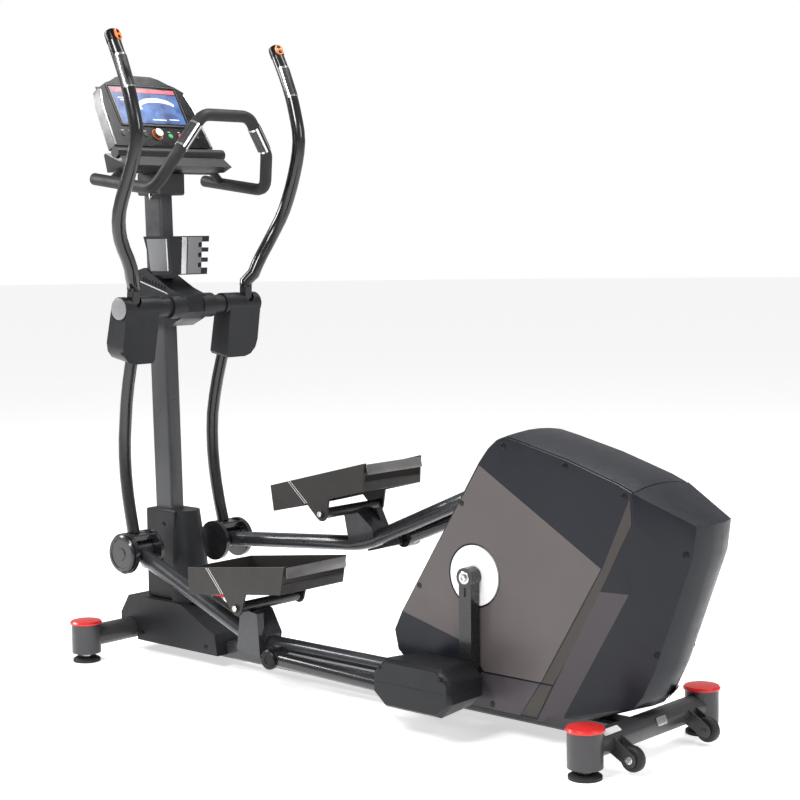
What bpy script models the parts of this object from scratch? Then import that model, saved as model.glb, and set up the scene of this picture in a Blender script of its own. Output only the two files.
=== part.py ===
"""Rear-drive elliptical trainer, modelled as separate pieces on their real joints.

Metres, +Z up. +X runs from the front stabiliser back to the drive housing, and the user's
left hand side is -Y. Everything hangs under one empty on the front stabiliser's axis; the
origin of the model is the centre of its footprint, on the floor.
"""

import math

import bmesh
import bpy
from mathutils import Matrix, Vector

# ---- clearances -------------------------------------------------------------------------
GAP = 0.0003            # between pieces that touch
RUN = 0.0004            # radial clearance of a shaft in its bore
SWING = 0.0020          # between pieces that move past each other

STEEL_WALL = 0.003      # wall of the frame's tubes
VENT_R = 0.003          # small hole that every closed tube has

# ---- base -------------------------------------------------------------------------------
WHEELBASE = 1.700       # front to rear stabiliser axis
SOCKET_SPREAD = 0.464   # across, between the corner socket axes
SOCKET_R = 0.040
SOCKET_LOW = 0.024
SOCKET_TOP = 0.105
SOCKET_FLOOR = 0.012    # the plate the foot's screw goes through
CAP_R = 0.044
CAP_H = 0.012
FOOT_R = 0.038
FOOT_H = 0.013
STEM_R = 0.008
TUBE_Z = 0.067          # height of the stabiliser tubes
TUBE_R = 0.030
WHEEL_R = 0.029
WHEEL_W = 0.022
WHEEL_X = 0.068         # wheel axle behind the rear stabiliser's axis
WHEEL_Z = 0.037
WHEEL_Y = 0.150
FORK_T = 0.004
BEAM_W = 0.070
BEAM_LOW = 0.024
BEAM_TOP = 0.070

# ---- mast -------------------------------------------------------------------------------
MAST_L = 0.070          # along X
MAST_W = 0.048          # along Y
MAST_X = 0.105          # at the beam
MAST_LEAN = math.radians(1.4)
MAST_TOP = 1.335
BOOT_TOP = 0.412
COVER_TOP = 0.160
WALL = 0.004

# ---- arm pivot and arms -----------------------------------------------------------------
PIVOT_X = 0.194
PIVOT_Z = 0.981
PIVOT_HALF = 0.247      # half length of the axle
AXLE_R = 0.0125
SLEEVE_R = 0.021
ARM_LENGTH = 0.6727     # arm pivot to pedal bar joint
ARM_BOW = 0.068         # how far the lower arm bows forward of that line
ARM_Y = 0.155
LOWER_R = 0.017
UPPER_R = 0.0185
SHROUD_IN = 0.118
SHROUD_OUT = 0.246
SHROUD_DROP = 0.148
DRUM_R = 0.056
DRUM_IN = 0.103
DRUM_OUT = 0.203
FLANGE_T = 0.012
JOINT_PIN_R = 0.010

# ---- crank and drive --------------------------------------------------------------------
CRANK_X = 1.295
CRANK_Z = 0.376
CRANK_R = 0.236
CRANK_REST = math.radians(-90)   # the left crank points down, the right one up
CRANK_ARM_IN = 0.114
CRANK_ARM_T = 0.034
CRANK_ARM_W = 0.036
SPINDLE_R = 0.0125
DISC_R = 0.072
DISC_T = 0.009
PULLEY_R = 0.110
PULLEY_W = 0.018
PULLEY_Y = 0.055
FLY_X = 0.245           # flywheel axle behind the crank axle
FLY_R = 0.125
FLY_W = 0.030
FLY_Y = -0.030
FLY_PULLEY_R = 0.022
BELT_T = 0.003
FLY_SHAFT_R = 0.010

# ---- pedal bars -------------------------------------------------------------------------
BAR_LENGTH = 1.174      # bar joint to crank pin
BAR_Y = 0.178
BAR_R = 0.021
BEND_U = 0.513
BEND_V = -0.098
LINK_Y = 0.223
LINK_R = 0.020
KNOB_U = 0.628
KNOB_V = -0.104
BOX_IN = 0.153
BOX_OUT = 0.280
BOX_LENGTH = 0.236
BOX_AHEAD = 0.054       # the crank box's middle is this far ahead of the crank pin
BOX_HEIGHT = 0.116

# ---- pedals -----------------------------------------------------------------------------
PEDAL_IN = 0.035
PEDAL_OUT = 0.260
PEDAL_FRONT = -0.176
PEDAL_REAR = 0.186
PEDAL_LOW = 0.034
PEDAL_TOP = 0.104
PEDAL_WALL = 0.006
PEDAL_PITCH_LEFT = math.radians(6.75)
PEDAL_PITCH_RIGHT = math.radians(13.9)
PEDAL_BOLT_R = 0.006
CROSS_TUBE_R = 0.014

# ---- housing ----------------------------------------------------------------------------
HOUSING_HALF = 0.1105
PLATE_T = 0.009
REAR_HALF = 0.1125      # the rear cover is a little wider than the side covers
CROWN = 0.010           # how much higher the housing's top is in the middle
RIDGE_Z = 0.545         # the rear cover's ridge
REAR_X = 1.888          # the rear cover's rearmost point

# ---- console and fixed bar --------------------------------------------------------------
LOOP_R = 0.0165
CONSOLE_TILT = math.radians(30)
CONSOLE_X = 0.052
CONSOLE_Z = MAST_TOP + 0.183
CONSOLE_HALF = 0.178
CONSOLE_H = 0.232
CONSOLE_T = 0.030
SCREEN_HALF = 0.120
SCREEN_H = 0.122

ORIGIN_X = 0.5 * (REAR_X - CAP_R)

SIDES = (("left", -1), ("right", 1))


# ---- scene ------------------------------------------------------------------------------
for old in list(bpy.data.objects):
    bpy.data.objects.remove(old, do_unlink=True)

trainer = bpy.data.collections.new("elliptical_trainer")
bpy.context.scene.collection.children.link(trainer)
cutters = bpy.data.collections.new("shaping")
bpy.context.scene.collection.children.link(cutters)


# ---- materials --------------------------------------------------------------------------
def material(name, colour, roughness, metallic):
    mat = bpy.data.materials.new(name)
    mat.use_nodes = True
    shader = mat.node_tree.nodes["Principled BSDF"]
    shader.inputs["Base Color"].default_value = (*colour, 1.0)
    shader.inputs["Roughness"].default_value = roughness
    shader.inputs["Metallic"].default_value = metallic
    mat.diffuse_color = (*colour, 1.0)
    return mat


# ---- shaping tools ----------------------------------------------------------------------
def shape(mesh, name="shape"):
    """A temporary solid, kept in the shaping collection."""
    obj = bpy.data.objects.new(name, mesh)
    cutters.objects.link(obj)
    obj.hide_render = True
    obj.display_type = "WIRE"
    return obj


def face_outwards(bm):
    bmesh.ops.recalc_face_normals(bm, faces=bm.faces)
    if bm.calc_volume(signed=True) < 0:
        bmesh.ops.reverse_faces(bm, faces=bm.faces)


def from_bmesh(bm, name="shape"):
    face_outwards(bm)
    mesh = bpy.data.meshes.new(name)
    bm.to_mesh(mesh)
    bm.free()
    return shape(mesh, name)


def box(x, y, z, bevel=0.0, segments=1, turn=None):
    """A box between the given pairs of limits, its edges eased by bevel."""
    bm = bmesh.new()
    size = Vector((x[1] - x[0], y[1] - y[0], z[1] - z[0]))
    centre = Vector(((x[0] + x[1]) / 2, (y[0] + y[1]) / 2, (z[0] + z[1]) / 2))
    bmesh.ops.create_cube(bm, size=1.0)
    bmesh.ops.scale(bm, vec=size, verts=bm.verts)
    if bevel:
        bmesh.ops.bevel(bm, geom=bm.edges[:], offset=bevel, segments=segments, profile=0.5,
                        affect="EDGES")
    if turn is not None:
        bmesh.ops.rotate(bm, cent=(0, 0, 0), matrix=turn, verts=bm.verts)
    bmesh.ops.translate(bm, vec=centre, verts=bm.verts)
    return from_bmesh(bm)


def rod_y(x, z, r, y0, y1, sides=20, r_end=None):
    """A cylinder or cone along Y, from y0 to y1."""
    bm = bmesh.new()
    low, high = (y0, y1) if y0 < y1 else (y1, y0)
    r_low, r_high = (r, r if r_end is None else r_end)
    if y0 > y1:
        r_low, r_high = r_high, r_low
    turn = Matrix.Translation((x, (low + high) / 2, z)) @ Matrix.Rotation(-math.pi / 2, 4, "X")
    bmesh.ops.create_cone(bm, cap_ends=True, segments=sides, radius1=r_low, radius2=r_high,
                          depth=high - low, matrix=turn)
    return from_bmesh(bm)


def rod_z(x, y, r, z0, z1, sides=20, r_end=None):
    bm = bmesh.new()
    bmesh.ops.create_cone(bm, cap_ends=True, segments=sides, radius1=r,
                          radius2=r if r_end is None else r_end, depth=z1 - z0,
                          matrix=Matrix.Translation((x, y, (z0 + z1) / 2)))
    return from_bmesh(bm)


def rod_x(y, z, r, x0, x1, sides=16):
    bm = bmesh.new()
    turn = Matrix.Translation(((x0 + x1) / 2, y, z)) @ Matrix.Rotation(math.pi / 2, 4, "Y")
    bmesh.ops.create_cone(bm, cap_ends=True, segments=sides, radius1=r, radius2=r,
                          depth=x1 - x0, matrix=turn)
    return from_bmesh(bm)


def solid(obj):
    """Turn a curve or a modified object into a plain welded mesh in its own place."""
    bpy.context.view_layer.update()
    graph = bpy.context.evaluated_depsgraph_get()
    mesh = bpy.data.meshes.new_from_object(obj.evaluated_get(graph))
    mesh.transform(obj.matrix_world)
    bm = bmesh.new()
    bm.from_mesh(mesh)
    bmesh.ops.remove_doubles(bm, verts=bm.verts, dist=0.00001)
    face_outwards(bm)
    bm.to_mesh(mesh)
    bm.free()
    mesh.materials.clear()
    bpy.data.objects.remove(obj, do_unlink=True)
    return shape(mesh)


def plate(outline, y0, y1):
    """A flat outline in X and Z, given thickness along Y."""
    curve = bpy.data.curves.new("outline", "CURVE")
    curve.dimensions = "2D"
    curve.fill_mode = "BOTH"
    curve.extrude = abs(y1 - y0) / 2
    line = curve.splines.new("POLY")
    line.points.add(len(outline) - 1)
    for point, (x, z) in zip(line.points, outline):
        point.co = (x, z, 0.0, 1.0)
    line.use_cyclic_u = True
    obj = shape(curve)
    obj.location = (0.0, (y0 + y1) / 2, 0.0)
    obj.rotation_euler = (math.pi / 2, 0.0, 0.0)
    return solid(obj)


def smooth_path(points, steps=6):
    """A rounded line through the points, by Catmull-Rom interpolation."""
    nodes = [Vector(p) for p in points]
    nodes = [2 * nodes[0] - nodes[1]] + nodes + [2 * nodes[-1] - nodes[-2]]
    out = []
    for i in range(1, len(nodes) - 2):
        a, b, c, d = nodes[i - 1:i + 3]
        for k in range(steps):
            t = k / steps
            out.append(0.5 * (2 * b + (c - a) * t + (2 * a - 5 * b + 4 * c - d) * t * t
                              + (3 * b - a - 3 * c + d) * t ** 3))
    out.append(nodes[-2])
    return out


def filleted(points, radius, steps=4):
    """A line with straight runs, each inner corner rounded by the radius."""
    nodes = [Vector(p) for p in points]
    out = [nodes[0]]
    for a, b, c in zip(nodes, nodes[1:], nodes[2:]):
        back = (a - b).normalized()
        on = (c - b).normalized()
        turn = math.pi - back.angle(on)
        reach = radius * math.tan(turn / 2)
        start = b + back * reach
        end = b + on * reach
        for k in range(steps + 1):
            t = k / steps
            out.append((1 - t) ** 2 * start + 2 * t * (1 - t) * b + t * t * end)
    out.append(nodes[-1])
    return out


def tube(points, r, resolution=4):
    """A round tube along a line of points, closed at both ends."""
    curve = bpy.data.curves.new("tube", "CURVE")
    curve.dimensions = "3D"
    curve.bevel_depth = r
    curve.bevel_resolution = resolution
    curve.use_fill_caps = True
    line = curve.splines.new("POLY")
    line.points.add(len(points) - 1)
    for point, place in zip(line.points, points):
        point.co = (*place, 1.0)
    return solid(shape(curve))


def turned(profile, steps=24):
    """A turned solid about Z; the profile runs down the outer side, radius and height."""
    mesh = bpy.data.meshes.new("profile")
    mesh.from_pydata([(r, 0.0, z) for r, z in profile],
                     [(i, i + 1) for i in range(len(profile) - 1)], [])
    obj = shape(mesh)
    screw = obj.modifiers.new("turn", "SCREW")
    screw.axis = "Z"
    screw.steps = steps
    screw.render_steps = steps
    screw.use_merge_vertices = True
    screw.merge_threshold = 0.00001
    return solid(obj)


def hull(points):
    bm = bmesh.new()
    for p in points:
        bm.verts.new(p)
    bmesh.ops.convex_hull(bm, input=bm.verts)
    bmesh.ops.dissolve_limit(bm, angle_limit=math.radians(0.5), verts=bm.verts, edges=bm.edges)
    return from_bmesh(bm)


def loft(sections):
    """A solid through outlines of equal length, each at its own Y, in rising order."""
    bm = bmesh.new()
    rows = [[bm.verts.new((x, y, z)) for x, z in line] for y, line in sections]
    count = len(rows[0])
    for low, high in zip(rows, rows[1:]):
        for k in range(count):
            n = (k + 1) % count
            bm.faces.new((low[k], low[n], high[n], high[k]))
    bm.faces.new(rows[0])
    bm.faces.new(rows[-1][::-1])
    return from_bmesh(bm)


def moved(obj, offset=(0, 0, 0), turn=None):
    if turn is not None:
        obj.data.transform(turn.to_4x4())
    obj.data.transform(Matrix.Translation(offset))
    return obj


def combine(first, others, how):
    for other in others:
        step = first.modifiers.new("shape", "BOOLEAN")
        step.operation = how
        step.solver = "EXACT"
        step.object = other
    result = solid(first)
    for other in others:
        bpy.data.objects.remove(other, do_unlink=True)
    return result


def union(first, *others):
    return combine(first, others, "UNION")


def cut(first, *others):
    return combine(first, others, "DIFFERENCE")


def part(name, obj, mat, parent, smooth=35.0):
    """Hand a finished solid over to the trainer's collection, under its joint's empty."""
    mesh = obj.data
    mesh.name = name
    mesh.materials.append(mat)
    mesh.shade_smooth()
    mesh.set_sharp_from_angle(angle=math.radians(smooth))
    cutters.objects.unlink(obj)
    trainer.objects.link(obj)
    obj.name = name
    obj.hide_render = False
    obj.display_type = "TEXTURED"
    obj.parent = parent
    return obj


def joint(name, place, angle=0.0, parent=None):
    """An empty on a joint's axis; everything that moves on the joint is its child."""
    empty = bpy.data.objects.new(name, None)
    empty.empty_display_size = 0.05
    empty.location = place
    empty.rotation_euler = (0.0, angle, 0.0)
    empty.parent = parent
    trainer.objects.link(empty)
    return empty


def side_pair(a, b, s):
    """A pair of Y limits on side s, in rising order."""
    return (a * s, b * s) if s > 0 else (b * s, a * s)


# ---- the linkage at rest ----------------------------------------------------------------
def circles_meet(ax, az, ra, bx, bz, rb):
    """Where the circle about a meets the circle about b, on the lower, forward side."""
    dx, dz = bx - ax, bz - az
    d = math.hypot(dx, dz)
    along = (ra * ra - rb * rb + d * d) / (2 * d)
    off = math.sqrt(ra * ra - along * along)
    return ax + (along * dx + off * dz) / d, az + (along * dz - off * dx) / d


def linkage(s):
    """Arm angle, bar joint, bar angle and crank pin on side s."""
    crank = CRANK_REST if s < 0 else CRANK_REST + math.pi
    pin_x = CRANK_X + CRANK_R * math.cos(crank)
    pin_z = CRANK_Z + CRANK_R * math.sin(crank)
    jx, jz = circles_meet(PIVOT_X, PIVOT_Z, ARM_LENGTH, pin_x, pin_z, BAR_LENGTH)
    arm = math.atan2(PIVOT_X - jx, PIVOT_Z - jz)
    bar = -math.atan2(pin_z - jz, pin_x - jx)
    return arm, (jx, jz), bar, (pin_x, pin_z)


graphite = material("graphite paint", (0.060, 0.060, 0.068), 0.42, 0.35)
black_gloss = material("black gloss paint", (0.022, 0.021, 0.024), 0.22, 0.10)
cover_grey = material("charcoal cover", (0.045, 0.047, 0.058), 0.48, 0.0)
socket_grey = material("socket grey", (0.085, 0.085, 0.092), 0.50, 0.0)
red_cap = material("red cap", (0.62, 0.035, 0.035), 0.40, 0.0)
rubber = material("black rubber", (0.018, 0.018, 0.018), 0.85, 0.0)
steel = material("plain steel", (0.55, 0.55, 0.56), 0.35, 1.0)
white = material("white disc", (0.80, 0.80, 0.80), 0.35, 0.0)
pedal_brown = material("pedal moulding", (0.050, 0.043, 0.045), 0.55, 0.0)
orange = material("orange button", (0.75, 0.24, 0.05), 0.40, 0.0)
glass = material("screen glass", (0.05, 0.10, 0.30), 0.10, 0.0)
tray_grey = material("tray grey", (0.17, 0.16, 0.165), 0.45, 0.1)
iron = material("cast iron", (0.10, 0.10, 0.11), 0.55, 0.9)
green = material("green key", (0.05, 0.35, 0.12), 0.40, 0.0)

frame = joint("frame", (-ORIGIN_X, 0.0, 0.0))

# ---- base frame -------------------------------------------------------------------------
HALF = SOCKET_SPREAD / 2


def stabiliser(x, *extras):
    """A hollow cross tube with a socket at each end and a vent hole underneath."""
    body = rod_y(x, TUBE_Z, TUBE_R, -HALF, HALF, sides=20)
    sockets = [rod_z(x, s * HALF, SOCKET_R, SOCKET_LOW, SOCKET_TOP, sides=28) for _, s in SIDES]
    bore_end = HALF - SOCKET_R - STEEL_WALL
    bore = rod_y(x, TUBE_Z, TUBE_R - STEEL_WALL, -bore_end, bore_end, sides=20)
    vent = rod_z(x, 0.0, VENT_R, 0.020, TUBE_Z - TUBE_R + 0.010, sides=8)
    wells = [rod_z(x, s * HALF, SOCKET_R - STEEL_WALL, SOCKET_LOW + SOCKET_FLOOR,
                   SOCKET_TOP + 0.01, sides=28) for _, s in SIDES]
    return cut(union(body, *sockets, *extras), bore, vent, *wells)


def fork(s):
    """Two cheeks that carry one transport wheel behind the rear stabiliser."""
    x_axle = WHEELBASE + WHEEL_X
    cheeks = []
    for inner in (-1, 1):
        y_mid = s * WHEEL_Y + inner * (WHEEL_W / 2 + SWING + FORK_T / 2)
        cheek = hull([(WHEELBASE + 0.5 * TUBE_R, y_mid + w, z) for w in (-FORK_T / 2, FORK_T / 2)
                      for z in (TUBE_Z - 0.020, TUBE_Z + 0.020)]
                     + [(x_axle + 0.017 * math.cos(a), y_mid + w, WHEEL_Z + 0.017 * math.sin(a))
                        for w in (-FORK_T / 2, FORK_T / 2)
                        for a in (math.radians(d) for d in range(-100, 81, 20))])
        cheeks.append(cheek)
    axle = rod_y(x_axle, WHEEL_Z, 0.005, s * WHEEL_Y - WHEEL_W / 2 - SWING - FORK_T - 0.003,
                 s * WHEEL_Y + WHEEL_W / 2 + SWING + FORK_T + 0.003, sides=12)
    return cheeks + [axle]


part("front_stabiliser", stabiliser(0.0), graphite, frame)
part("rear_stabiliser", stabiliser(WHEELBASE, *fork(-1), *fork(1)), graphite, frame)

for side, s in SIDES:
    for end, x in (("front", 0.0), ("rear", WHEELBASE)):
        cap = turned([(0.0, CAP_H), (CAP_R * 0.6, CAP_H * 0.95), (CAP_R * 0.92, CAP_H * 0.7),
                      (CAP_R, CAP_H * 0.35), (CAP_R, 0.0), (0.0, 0.0)], steps=28)
        part(f"cap_{end}_{side}", moved(cap, (x, s * HALF, SOCKET_TOP + GAP)), red_cap, frame)
        axis = joint(f"foot_axis_{end}_{side}", (x, s * HALF, 0.0), parent=frame)
        foot = turned([(0.0, SOCKET_LOW - GAP), (STEM_R, SOCKET_LOW - GAP), (STEM_R, FOOT_H),
                       (FOOT_R * 0.75, FOOT_H), (FOOT_R, FOOT_H * 0.55), (FOOT_R, 0.0),
                       (0.0, 0.0)], steps=24)
        part(f"foot_{end}_{side}", foot, rubber, axis)
    axis = joint(f"wheel_axis_{side}", (WHEELBASE + WHEEL_X, s * WHEEL_Y, WHEEL_Z), parent=frame)
    wheel = turned([(0.0054, WHEEL_W / 2), (WHEEL_R - 0.004, WHEEL_W / 2),
                    (WHEEL_R, WHEEL_W / 2 - 0.004), (WHEEL_R, 0.004 - WHEEL_W / 2),
                    (WHEEL_R - 0.004, -WHEEL_W / 2), (0.0054, -WHEEL_W / 2),
                    (0.0054, WHEEL_W / 2)], steps=24)
    moved(wheel, turn=Matrix.Rotation(math.pi / 2, 3, "X"))
    part(f"transport_wheel_{side}", wheel, rubber, axis)

# The beam carries the mast at its front and two uprights inside the drive housing.
beam = box((TUBE_R + GAP, WHEELBASE - TUBE_R - GAP), (-BEAM_W / 2, BEAM_W / 2),
           (BEAM_LOW, BEAM_TOP), bevel=0.006)
crank_post = box((CRANK_X - 0.025, CRANK_X + 0.025), (-0.022, 0.026),
                 (BEAM_TOP - 0.010, CRANK_Z), bevel=0.004)
crank_sleeve = rod_y(CRANK_X, CRANK_Z, 0.030, -0.034, 0.038, sides=20)
fly_x = CRANK_X + FLY_X
fly_post = box((fly_x - 0.020, fly_x + 0.020), (FLY_Y + FLY_W / 2 + 0.006, 0.034),
               (BEAM_TOP - 0.010, CRANK_Z + FLY_R + 0.042), bevel=0.004)
bores = [rod_y(CRANK_X, CRANK_Z, SPINDLE_R + RUN, -0.06, 0.06, sides=24),
         rod_y(fly_x, CRANK_Z, FLY_SHAFT_R + RUN, -0.06, 0.06, sides=24)]
beam = union(beam, crank_post, crank_sleeve, fly_post)
beam_inside = box((0.0, WHEELBASE), (STEEL_WALL - BEAM_W / 2, BEAM_W / 2 - STEEL_WALL),
                  (BEAM_LOW + STEEL_WALL, BEAM_TOP - STEEL_WALL), bevel=0.004)
part("main_beam", cut(beam, beam_inside, *bores), graphite, frame)

# ---- mast and its covers ----------------------------------------------------------------
mast_turn = Matrix.Rotation(-MAST_LEAN, 3, "Y")


def mast_axis_x(z):
    return MAST_X - (z - BEAM_TOP) * math.tan(MAST_LEAN)


def mast_block(grow, z0, z1, bevel=0.0, segments=1):
    """A block that follows the leaning mast, grown on all four sides."""
    length = (z1 - z0) / math.cos(MAST_LEAN)
    block = box((-MAST_L / 2 - grow, MAST_L / 2 + grow), (-MAST_W / 2 - grow, MAST_W / 2 + grow),
                (0.0, length), bevel=bevel, segments=segments)
    return moved(block, (mast_axis_x(z0), 0.0, z0), mast_turn)


mast_foot = BEAM_TOP + GAP + (MAST_L / 2) * math.sin(MAST_LEAN)
mast = mast_block(0.0, mast_foot, MAST_TOP, bevel=0.008, segments=2)
mast_inside = mast_block(-STEEL_WALL, mast_foot - 0.02, MAST_TOP + 0.02, bevel=0.005)
part("mast", cut(mast, mast_inside), graphite, frame)

COVER_HALF = 0.074
outer = plate([(-0.040, 0.036), (-0.040, 0.108), (-0.006, COVER_TOP), (0.215, COVER_TOP),
               (0.352, 0.094), (0.362, 0.036)], -COVER_HALF, COVER_HALF)
inner = plate([(-0.040 + WALL, 0.0), (-0.040 + WALL, 0.107), (-0.004, COVER_TOP - WALL),
               (0.214, COVER_TOP - WALL), (0.349, 0.091), (0.358, 0.0)],
              -COVER_HALF + WALL, COVER_HALF - WALL)
tube_hole = rod_y(0.0, TUBE_Z, TUBE_R + GAP, -0.1, 0.1, sides=24)
tube_slot = box((-TUBE_R - GAP, TUBE_R + GAP), (-0.1, 0.1), (0.0, TUBE_Z))
beam_slot = box((0.30, 0.40), (-BEAM_W / 2 - GAP, BEAM_W / 2 + GAP), (0.0, BEAM_TOP + GAP))
mast_hole = mast_block(GAP, 0.120, 0.200)
part("base_cover", cut(outer, inner, tube_hole, tube_slot, beam_slot, mast_hole),
     cover_grey, frame)

BOOT_HALF = 0.046
BOOT_FRONT = 0.046
BOOT_MID = 0.168
boot_low = COVER_TOP + GAP
boot = box((BOOT_FRONT, BOOT_MID), (-BOOT_HALF, BOOT_HALF), (boot_low, BOOT_TOP), bevel=0.006,
           segments=2)
fairing = hull([(cx + r * math.cos(a), r * math.sin(a), z)
                for cx, r, z in ((0.178, 0.062, boot_low), (0.162, 0.040, BOOT_TOP))
                for a in (math.radians(d) for d in range(-100, 101, 20))])
hollow = box((BOOT_FRONT + WALL, BOOT_MID), (-BOOT_HALF + WALL, BOOT_HALF - WALL),
             (0.1, BOOT_TOP - WALL))
hollow_rear = hull([(cx + r * math.cos(a), r * math.sin(a), z)
                    for cx, r, z in ((0.178, 0.058, boot_low - 0.01),
                                     (0.162, 0.036, BOOT_TOP - WALL))
                    for a in (math.radians(d) for d in range(-100, 101, 20))])
boot = cut(union(boot, fairing), union(hollow, hollow_rear), mast_block(GAP, 0.30, 0.50))
part("mast_boot", boot, cover_grey, frame)

# ---- arm pivot --------------------------------------------------------------------------
part("pivot_axle", rod_y(PIVOT_X, PIVOT_Z, AXLE_R, -PIVOT_HALF, PIVOT_HALF, sides=20),
     steel, frame)

CENTRE_HALF = 0.044
cover_front = 0.030
cover = plate([(cover_front, 0.935), (cover_front, 1.078), (0.060, 1.085), (0.165, 1.030),
               (0.215, 1.012), (0.224, 0.990), (0.224, 0.965), (0.205, 0.945), (0.160, 0.925)],
              -CENTRE_HALF, CENTRE_HALF)
sleeves = []
for s in (-1, 1):
    sleeves.append(rod_y(PIVOT_X, PIVOT_Z, 0.034, s * 0.030, s * 0.078, sides=24))
    sleeves.append(rod_y(PIVOT_X, PIVOT_Z, 0.027, s * 0.070, s * (SHROUD_IN - SWING), sides=24))
bore = rod_y(PIVOT_X, PIVOT_Z, AXLE_R + RUN, -0.2, 0.2, sides=24)
cover = cut(union(cover, *sleeves), bore, mast_block(GAP, 0.85, 1.15))
part("pivot_cover", cover, cover_grey, frame)

# ---- bottle holder on the mast ----------------------------------------------------------
HOLDER_LOW = 1.066
HOLDER_TOP = 1.172
HOLDER_BACK = 0.1165
shell = hull([(x, y, z) for x, y, z in (
    (HOLDER_BACK, -0.092, HOLDER_TOP), (HOLDER_BACK, 0.092, HOLDER_TOP),
    (0.190, -0.066, HOLDER_TOP), (0.190, 0.084, HOLDER_TOP),
    (HOLDER_BACK, -0.060, HOLDER_LOW), (HOLDER_BACK, 0.088, HOLDER_LOW),
    (0.182, -0.044, HOLDER_LOW), (0.182, 0.080, HOLDER_LOW))])
room = box((HOLDER_BACK + 0.010, 0.176), (-0.052, 0.014), (HOLDER_LOW + 0.030, 1.3))
room_2 = box((HOLDER_BACK + 0.010, 0.176), (0.020, 0.074), (HOLDER_LOW + 0.008, 1.3))
notches = [box((0.150, 0.300), (0.058, 0.120), (z, z + 0.016)) for z in (1.084, 1.112, 1.140)]
holder = cut(shell, room, room_2, *notches, mast_block(GAP, 1.0, 1.3))
part("bottle_holder", holder, cover_grey, frame)

# ---- fixed handlebar --------------------------------------------------------------------
# Half lines, from the free front end to the middle; heights are from the mast's top.
LOOP = ((0.050, 0.200, -0.007), (0.294, 0.202, -0.040), (0.345, 0.160, 0.057),
        (0.358, 0.084, 0.156), (0.358, 0.0, 0.156))
CROSS = ((0.122, 0.0, 0.019), (0.122, 0.160, 0.019), (0.118, 0.200, -0.015))
CROSS_R = 0.0115
CLAMP_LOW = MAST_TOP - 0.051
CLAMP_TOP = MAST_TOP + 0.012


def mirrored(line):
    """A half line and its mirror image, from the left end to the right one."""
    return ([(x, -y, MAST_TOP + z) for x, y, z in line]
            + [(x, y, MAST_TOP + z) for x, y, z in reversed(line) if y > 0])


loop_line = filleted(mirrored(LOOP), 0.052, steps=5)
loop = tube(loop_line, LOOP_R, resolution=4)
cross_line = filleted(mirrored(tuple(reversed(CROSS))), 0.020, steps=3)
cross = tube(cross_line, CROSS_R, resolution=3)
bracket = box((0.046, 0.150), (-0.052, 0.036), (CLAMP_LOW, CLAMP_TOP), bevel=0.005)
loop_bore = tube(loop_line, LOOP_R - STEEL_WALL, resolution=2)
loop_ends = box((0.0, LOOP[0][0] + STEEL_WALL), (-0.3, 0.3), (MAST_TOP - 0.1, MAST_TOP + 0.1))
loop_bore = cut(loop_bore, loop_ends)
vent = rod_y(0.090, MAST_TOP - 0.0115, VENT_R, -LOOP[0][1], -LOOP[0][1] + 0.030, sides=8)
near_mast_top = mast_block(GAP, MAST_TOP - 0.135, MAST_TOP + 0.065)
loop = cut(union(loop, cross, bracket), near_mast_top, loop_bore, vent)
part("fixed_handlebar", loop, black_gloss, frame)

# ---- console ----------------------------------------------------------------------------
console_axis = joint("console_mount", (CONSOLE_X, 0.0, CONSOLE_Z), parent=frame)
console_axis.rotation_euler = (0.0, -CONSOLE_TILT, 0.0)
H2 = CONSOLE_H / 2


def console_outline(inset=0.0):
    """Half of the console's face, from the bottom up, across and height."""
    return [(CONSOLE_HALF - inset, -H2 + inset), (CONSOLE_HALF - 0.012 - inset, 0.020),
            (CONSOLE_HALF - 0.026 - inset, H2 - 0.046), (CONSOLE_HALF - 0.056, H2 - 0.028 - inset),
            (0.104, H2 - 0.022 - inset), (0.078, H2 - 0.008 - inset), (0.050, H2 - inset)]


half = console_outline()
outline = half + [(-y, z) for y, z in reversed(half)]
face = plate(outline, 0.0, CONSOLE_T)
moved(face, turn=Matrix.Rotation(math.pi / 2, 3, "Z"))
back = hull([(-CONSOLE_T - 0.022, y, z) for y in (-0.100, 0.100) for z in (-0.085, 0.060)]
            + [(-CONSOLE_T + 0.004, y, z) for y in (-0.140, 0.140) for z in (-0.105, 0.090)])
console = union(face, back)
screen_z = 0.016
pocket = box((-0.004, 0.02), (-SCREEN_HALF - GAP, SCREEN_HALF + GAP),
             (screen_z - SCREEN_H / 2 - GAP, screen_z + SCREEN_H / 2 + GAP))
key_z = -0.080
KEYS = (("start", 0.036, green), ("stop", 0.072, red_cap))
wells = [rod_x(y, key_z, 0.0080, -0.008, 0.02, sides=16) for _, y, _ in KEYS]
dial_well = rod_x(-0.010, key_z + 0.004, 0.0135, -0.008, 0.02, sides=20)
console = cut(console, pocket, *wells, dial_well)
part("console_housing", console, black_gloss, console_axis)
part("console_screen", box((-0.004 + GAP, 0.0006), (-SCREEN_HALF, SCREEN_HALF),
                           (screen_z - SCREEN_H / 2, screen_z + SCREEN_H / 2)), glass,
     console_axis)
for name, y, mat in KEYS:
    key_axis = joint(f"key_axis_{name}", (0.0, y, key_z), parent=console_axis)
    part(f"key_{name}", rod_x(0.0, 0.0, 0.0074, -0.005, 0.0022, sides=16), mat, key_axis)
dial_axis = joint("dial_axis", (0.0, -0.010, key_z + 0.004), parent=console_axis)
dial = union(rod_x(0.0, 0.0, 0.0128, -0.0077, 0.012, sides=20),
             box((0.010, 0.014), (-0.0018, 0.0018), (0.0, 0.0115)))
part("console_dial", dial, steel, dial_axis)

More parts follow.
